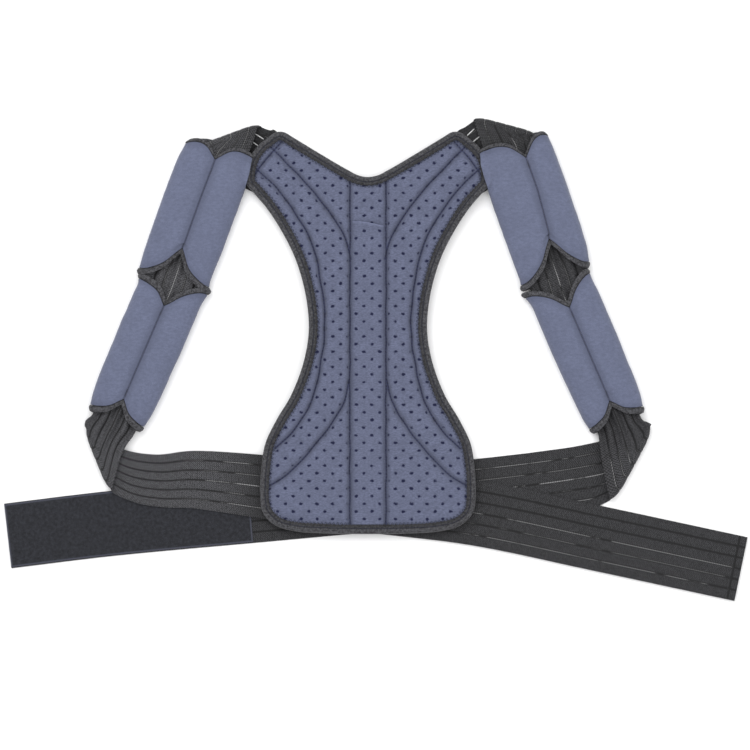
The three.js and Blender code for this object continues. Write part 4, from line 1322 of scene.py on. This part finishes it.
def swell(outer, at, seed):
    """The lobes' puff: the wall moves along its own outward direction by a broad arch along the pad and
    by soft ripples, none at the centre seam and the underside."""
    s = bpy.context.scene.brace_pads
    run = np.gradient(outer, axis=0)
    round_it = np.gradient(outer, axis=1)
    normal = unit(np.cross(round_it, run))
    upward = np.sign(normal[:, outer.shape[1] // 4, 2]).mean()
    normal = normal * (1 if upward > 0 else -1)
    seam = abs(outer[..., 0])
    puff = smooth(seam / 9) * smooth(outer[..., 2] / 6)
    arch = smooth(at / 0.1) * smooth((1 - at) / 0.1)
    plain = outer + (seed * 131.0, 0, 0)
    waves = 0.5 * ripple(plain, 34, seed) + 0.22 * ripple(plain, 11, seed + 20)
    amount = (s.puff / MM * arch[:, None] + s.wrinkle / MM * waves) * puff
    return outer + normal * amount[..., None]


def make_pads():
    """Each pad is a wall wrapped round the strap, two swelling lobes that meet on top at a sunk seam."""
    material = pad_material()
    at = np.linspace(0, 1, 96)
    for seed, pad in enumerate(pad_frames()):
        name, shape = pad[:2]
        outer, inner = pad_rings(shape, at)
        outer = swell(outer, at, seed + 31)
        seam = abs(outer[..., 0])
        seam = np.where(outer[..., 2] > PAD_MIDDLE, seam, 9)
        # Near the pad's ends the seam attribute is kept small: painted shade where the fabric meets its end
        # bindings
        seam = np.minimum(seam, 1.2 + np.minimum(at, 1 - at)[:, None] * shape["length"])
        points, quads = shell(laid(outer, at, pad), laid(inner, at, pad))
        obj = put(f"padded_{name}", points, quads, material, [name],
                  {"seam": on_both(seam, np.full_like(seam, 9))}, sharp=70)


def make_pad_bindings():
    """A rounded tape on each end of each pad: the wall's end section carried on, its outer edge rounded
    over as a quarter turn. The tapes are a little wider than the solids', but narrower on the tops of
    the upper pads."""
    material = bpy.data.materials["ribbed edge binding"]
    share = np.linspace(0, 1, BAND_ROWS)[:, None]
    angle = share * np.pi / 2
    shrink = 1 - 0.075 * (1 - np.cos(angle)) + 0.02 * np.sin(share * np.pi)
    for pad in pad_frames():
        name, shape = pad[:2]
        for end, at, forward in (("top", 0.0, 1), ("end", 1.0, -1)):
            outer, inner = pad_rings(shape, np.array([at]), TOUCH_GAP, 60)
            by_gap = (end == "end") == ("upper" in name)
            narrow = end == "top" and "upper" in name
            wide = PAD_BINDING_LENGTH + (-TOP_BAND_NARROWER if narrow else BAND_WIDER)
            step = PAD_END_GAP + (wide - PAD_END_GAP) * share
            rows = np.repeat(outer, BAND_ROWS, 0)
            rows[..., 0] *= shrink
            rows[..., 1] += forward * step
            rows[..., 2] = np.maximum(mix(PAD_MIDDLE, rows[..., 2], shrink), TOUCH_GAP)
            inside = np.repeat(inner, BAND_ROWS, 0)
            inside[..., 1] += forward * step
            place = np.full(BAND_ROWS, at)
            beyond = step[:, 0] if by_gap else 0.0
            points, quads = shell(laid(rows, place, pad, beyond), laid(inside, place, pad, beyond))
            along = np.broadcast_to(lengths(outer[0]), rows.shape[:2])
            # Painted shade in the creases where the band meets the pad's fabric
            crease_shade = np.broadcast_to(1 - smooth(share / 0.3), rows.shape[:2])
            obj = put(f"{name}_{end}_trim", points, quads, material, [f"{name}_{end}_binding"],
                      {"along": on_both(along), "crease_shade": on_both(crease_shade)}, sharp=60)


def make_stage():
    """A plain pale floor, three soft lamps and the camera at the photograph's angle."""
    s = bpy.context.scene.brace_stage
    mesh = bpy.data.meshes.new("floor")
    low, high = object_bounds()
    x, y = (low[0] + high[0]) / 2, (low[1] + high[1]) / 2
    corners = [(x + across * FLOOR_HALF, y + up * FLOOR_HALF, FLOOR_LEVEL)
               for across, up in ((-1, -1), (1, -1), (1, 1), (-1, 1))]
    mesh.from_pydata(corners, [], [(0, 1, 2, 3)])
    floor = add_object("floor", mesh)
    mesh.materials.append(floor_material())
    floor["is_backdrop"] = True
    for name, place, power, width in (
        ("key", (-0.9, 1.1, 2.0), s.key_power, 1.6),
        ("fill", (1.4, -0.6, 1.8), s.fill_power, 2.2),
        ("top", (0.1, 0.0, 2.8), s.top_power, 2.4),
    ):
        lamp = bpy.data.lights.new(name, "AREA")
        lamp.energy = power
        lamp.size = width
        obj = add_object(name, lamp)
        obj.location = place
        obj.rotation_euler = (Vector((x, y, 0)) - Vector(place)).to_track_quat("-Z", "Y").to_euler()
    world = bpy.data.worlds.new("studio")
    world.use_nodes = True
    world.node_tree.nodes["Background"].inputs["Color"].default_value = (1, 1, 1, 1)
    world.node_tree.nodes["Background"].inputs["Strength"].default_value = s.sky
    bpy.context.scene.world = world
    bpy.context.scene.view_settings.view_transform = "Standard"
    target = Vector((PLAN_ZERO[0] + VIEW_CENTRE[0] * MM, PLAN_ZERO[1] + VIEW_CENTRE[1] * MM, 0.0))
    lift = math.radians(s.elevation)
    away = Vector((0, -math.cos(lift), math.sin(lift)))
    camera = bpy.data.cameras.new("camera")
    camera.sensor_width = 36
    camera.lens = camera.sensor_width / 2 * s.distance / (s.view_width / 2)
    obj = add_object("camera", camera)
    obj.location = target + away * s.distance
    obj.rotation_euler = (-away).to_track_quat("-Z", "Y").to_euler()
    bpy.context.scene.camera = obj


# Settings

def number_setting(name, description, default, **limits):
    return bpy.props.FloatProperty(name=name, description=description, default=default, **limits)


def length_setting(name, description, default):
    return number_setting(name, description, default, unit="LENGTH", subtype="DISTANCE", precision=4)


def colour_setting(name, description, default):
    return bpy.props.FloatVectorProperty(name=name, description=description, default=default, size=3,
                                         subtype="COLOR", min=0, max=1)


class BracePanelSettings(bpy.types.PropertyGroup):
    """Sizes and colours of the back panel."""
    puff: length_setting("Puff", "How far the foam swells between seams", 0.0023)
    seam_depth: length_setting("Seam depth", "How far a seam sinks into the foam", 0.002)
    hole_pitch: length_setting("Hole pitch", "Distance between holes in a row", 0.0169)
    hole_row_pitch: length_setting("Row pitch", "Distance between rows of holes", 0.0082)
    hole_width: length_setting("Hole width", "Width of one hole", 0.0032)
    colour: colour_setting("Fabric", "Colour of the perforated fabric", (0.096, 0.107, 0.166))
    seam_colour: colour_setting("Seams", "Colour in the quilting seams", (0.024, 0.029, 0.072))
    # The holes' colour is painted shade in their depth
    hole_shade_colour: colour_setting("Holes", "Colour in the holes", (0.007, 0.009, 0.036))


class BraceStrapSettings(bpy.types.PropertyGroup):
    """Weave and colours of the elastic straps."""
    rib_pitch: length_setting("Rib pitch", "Distance between the webbing's ribs", 0.0019)
    course_pitch: length_setting("Course pitch", "Distance between its lengthwise courses", 0.0024)
    glint: number_setting("Glint", "Strength of the filament's dashes", 0.8, min=0, max=1,
                          subtype="FACTOR")
    colour: colour_setting("Webbing", "Colour of the webbing", (0.025, 0.025, 0.0275))
    # Colour of the filament's glint, a painted highlight
    glint_colour: colour_setting("Filament", "Colour of the clear filament", (0.42, 0.42, 0.43))


class BracePadSettings(bpy.types.PropertyGroup):
    """Softness and colours of the shoulder pads."""
    puff: length_setting("Puff", "How far the lobes swell past their plain section", 0.0012)
    wrinkle: length_setting("Wrinkle", "Height of the soft unevenness", 0.0006)
    colour: colour_setting("Fabric", "Colour of the brushed fabric", (0.111, 0.125, 0.191))
    seam_colour: colour_setting("Seam", "Colour in the centre seam", (0.02, 0.022, 0.05))


class BraceClosureSettings(bpy.types.PropertyGroup):
    """Colours of the closure patches."""
    pile_colour: colour_setting("Pile", "Colour of the napped loops", (0.0185, 0.0195, 0.0245))
    edge_colour: colour_setting("Edge", "Colour of the patch's woven edge", (0.06, 0.064, 0.088))
    hook_colour: colour_setting("Hooks", "Colour of the hook tape", (0.02, 0.02, 0.022))


class BraceTrimSettings(bpy.types.PropertyGroup):
    """Weave and colours of the bindings and thread."""
    rib_pitch: length_setting("Rib pitch", "Distance between the tape's ribs", 0.0013)
    colour: colour_setting("Binding", "Colour of the edge binding", (0.038, 0.038, 0.042))
    thread_colour: colour_setting("Thread", "Colour of the sewing thread", (0.017, 0.019, 0.036))


class BraceStageSettings(bpy.types.PropertyGroup):
    """Camera and lamps."""
    elevation: number_setting("Elevation", "Camera's height angle in degrees", 85, min=10, max=89)
    distance: length_setting("Distance", "Distance from the camera to the brace", 4.5)
    view_width: length_setting("View width", "Width of floor that the picture shows", 0.81)
    key_power: number_setting("Key", "Power of the key lamp", 26, min=0)
    fill_power: number_setting("Fill", "Power of the fill lamp", 14, min=0)
    top_power: number_setting("Top", "Power of the overhead lamp", 22, min=0)
    sky: number_setting("Sky", "Strength of the even light", 0.75, min=0)


SETTINGS = {
    "brace_panel": BracePanelSettings,
    "brace_straps": BraceStrapSettings,
    "brace_pads": BracePadSettings,
    "brace_closures": BraceClosureSettings,
    "brace_trim": BraceTrimSettings,
    "brace_stage": BraceStageSettings,
}


# Operators

class BraceOperator:
    """Calls the functions in steps in their order. An error in one of them stops the operator."""
    steps = ()

    def execute(self, context):
        for step in self.steps:
            step()
        return {"FINISHED"}


class BRACE_OT_stage(BraceOperator, bpy.types.Operator):
    """Make the floor, lamps and camera"""
    bl_idname = "brace.stage"
    bl_label = "Stage"
    steps = (make_stage,)


class BRACE_OT_panel(BraceOperator, bpy.types.Operator):
    """Make the quilted back panel and the pocket over its channel"""
    bl_idname = "brace.panel"
    bl_label = "Back panel"
    steps = (make_panel, make_pocket)


class BRACE_OT_binding(BraceOperator, bpy.types.Operator):
    """Make the binding round the panel and its stitching"""
    bl_idname = "brace.binding"
    bl_label = "Panel binding"
    steps = (make_panel_binding, make_stitching)


class BRACE_OT_straps(BraceOperator, bpy.types.Operator):
    """Make the two elastic straps"""
    bl_idname = "brace.straps"
    bl_label = "Straps"
    steps = (make_straps,)


class BRACE_OT_closures(BraceOperator, bpy.types.Operator):
    """Make the loop patch and the hook patch"""
    bl_idname = "brace.closures"
    bl_label = "Closure patches"
    steps = (make_patches,)


class BRACE_OT_pads(BraceOperator, bpy.types.Operator):
    """Make the four shoulder pads and their end bindings"""
    bl_idname = "brace.pads"
    bl_label = "Shoulder pads"
    steps = (make_pads, make_pad_bindings)


OPERATORS = (BRACE_OT_stage, BRACE_OT_panel, BRACE_OT_binding, BRACE_OT_straps, BRACE_OT_closures,
             BRACE_OT_pads)


class BRACE_PT_sidebar(bpy.types.Panel):
    """Lists the brace's pieces and their settings"""
    bl_idname = "BRACE_PT_sidebar"
    bl_label = "Posture corrector"
    bl_space_type = "VIEW_3D"
    bl_region_type = "UI"
    bl_category = "Brace"

    def draw(self, context):
        for operator in OPERATORS:
            self.layout.operator(operator.bl_idname)
        for key, group in SETTINGS.items():
            box = self.layout.box()
            box.label(text=group.__doc__)
            for name in group.__annotations__:
                box.prop(getattr(context.scene, key), name)


CLASSES = (*SETTINGS.values(), *OPERATORS, BRACE_PT_sidebar)


def register():
    for item in CLASSES:
        bpy.utils.register_class(item)
    for key, group in SETTINGS.items():
        setattr(bpy.types.Scene, key, bpy.props.PointerProperty(type=group))


def unregister():
    for key in SETTINGS:
        delattr(bpy.types.Scene, key)
    for item in reversed(CLASSES):
        bpy.utils.unregister_class(item)


def main():
    register()
    bpy.ops.brace.stage()
    bpy.ops.brace.panel()
    bpy.ops.brace.binding()
    bpy.ops.brace.straps()
    bpy.ops.brace.closures()
    bpy.ops.brace.pads()


if __name__ == "__main__":
    main()
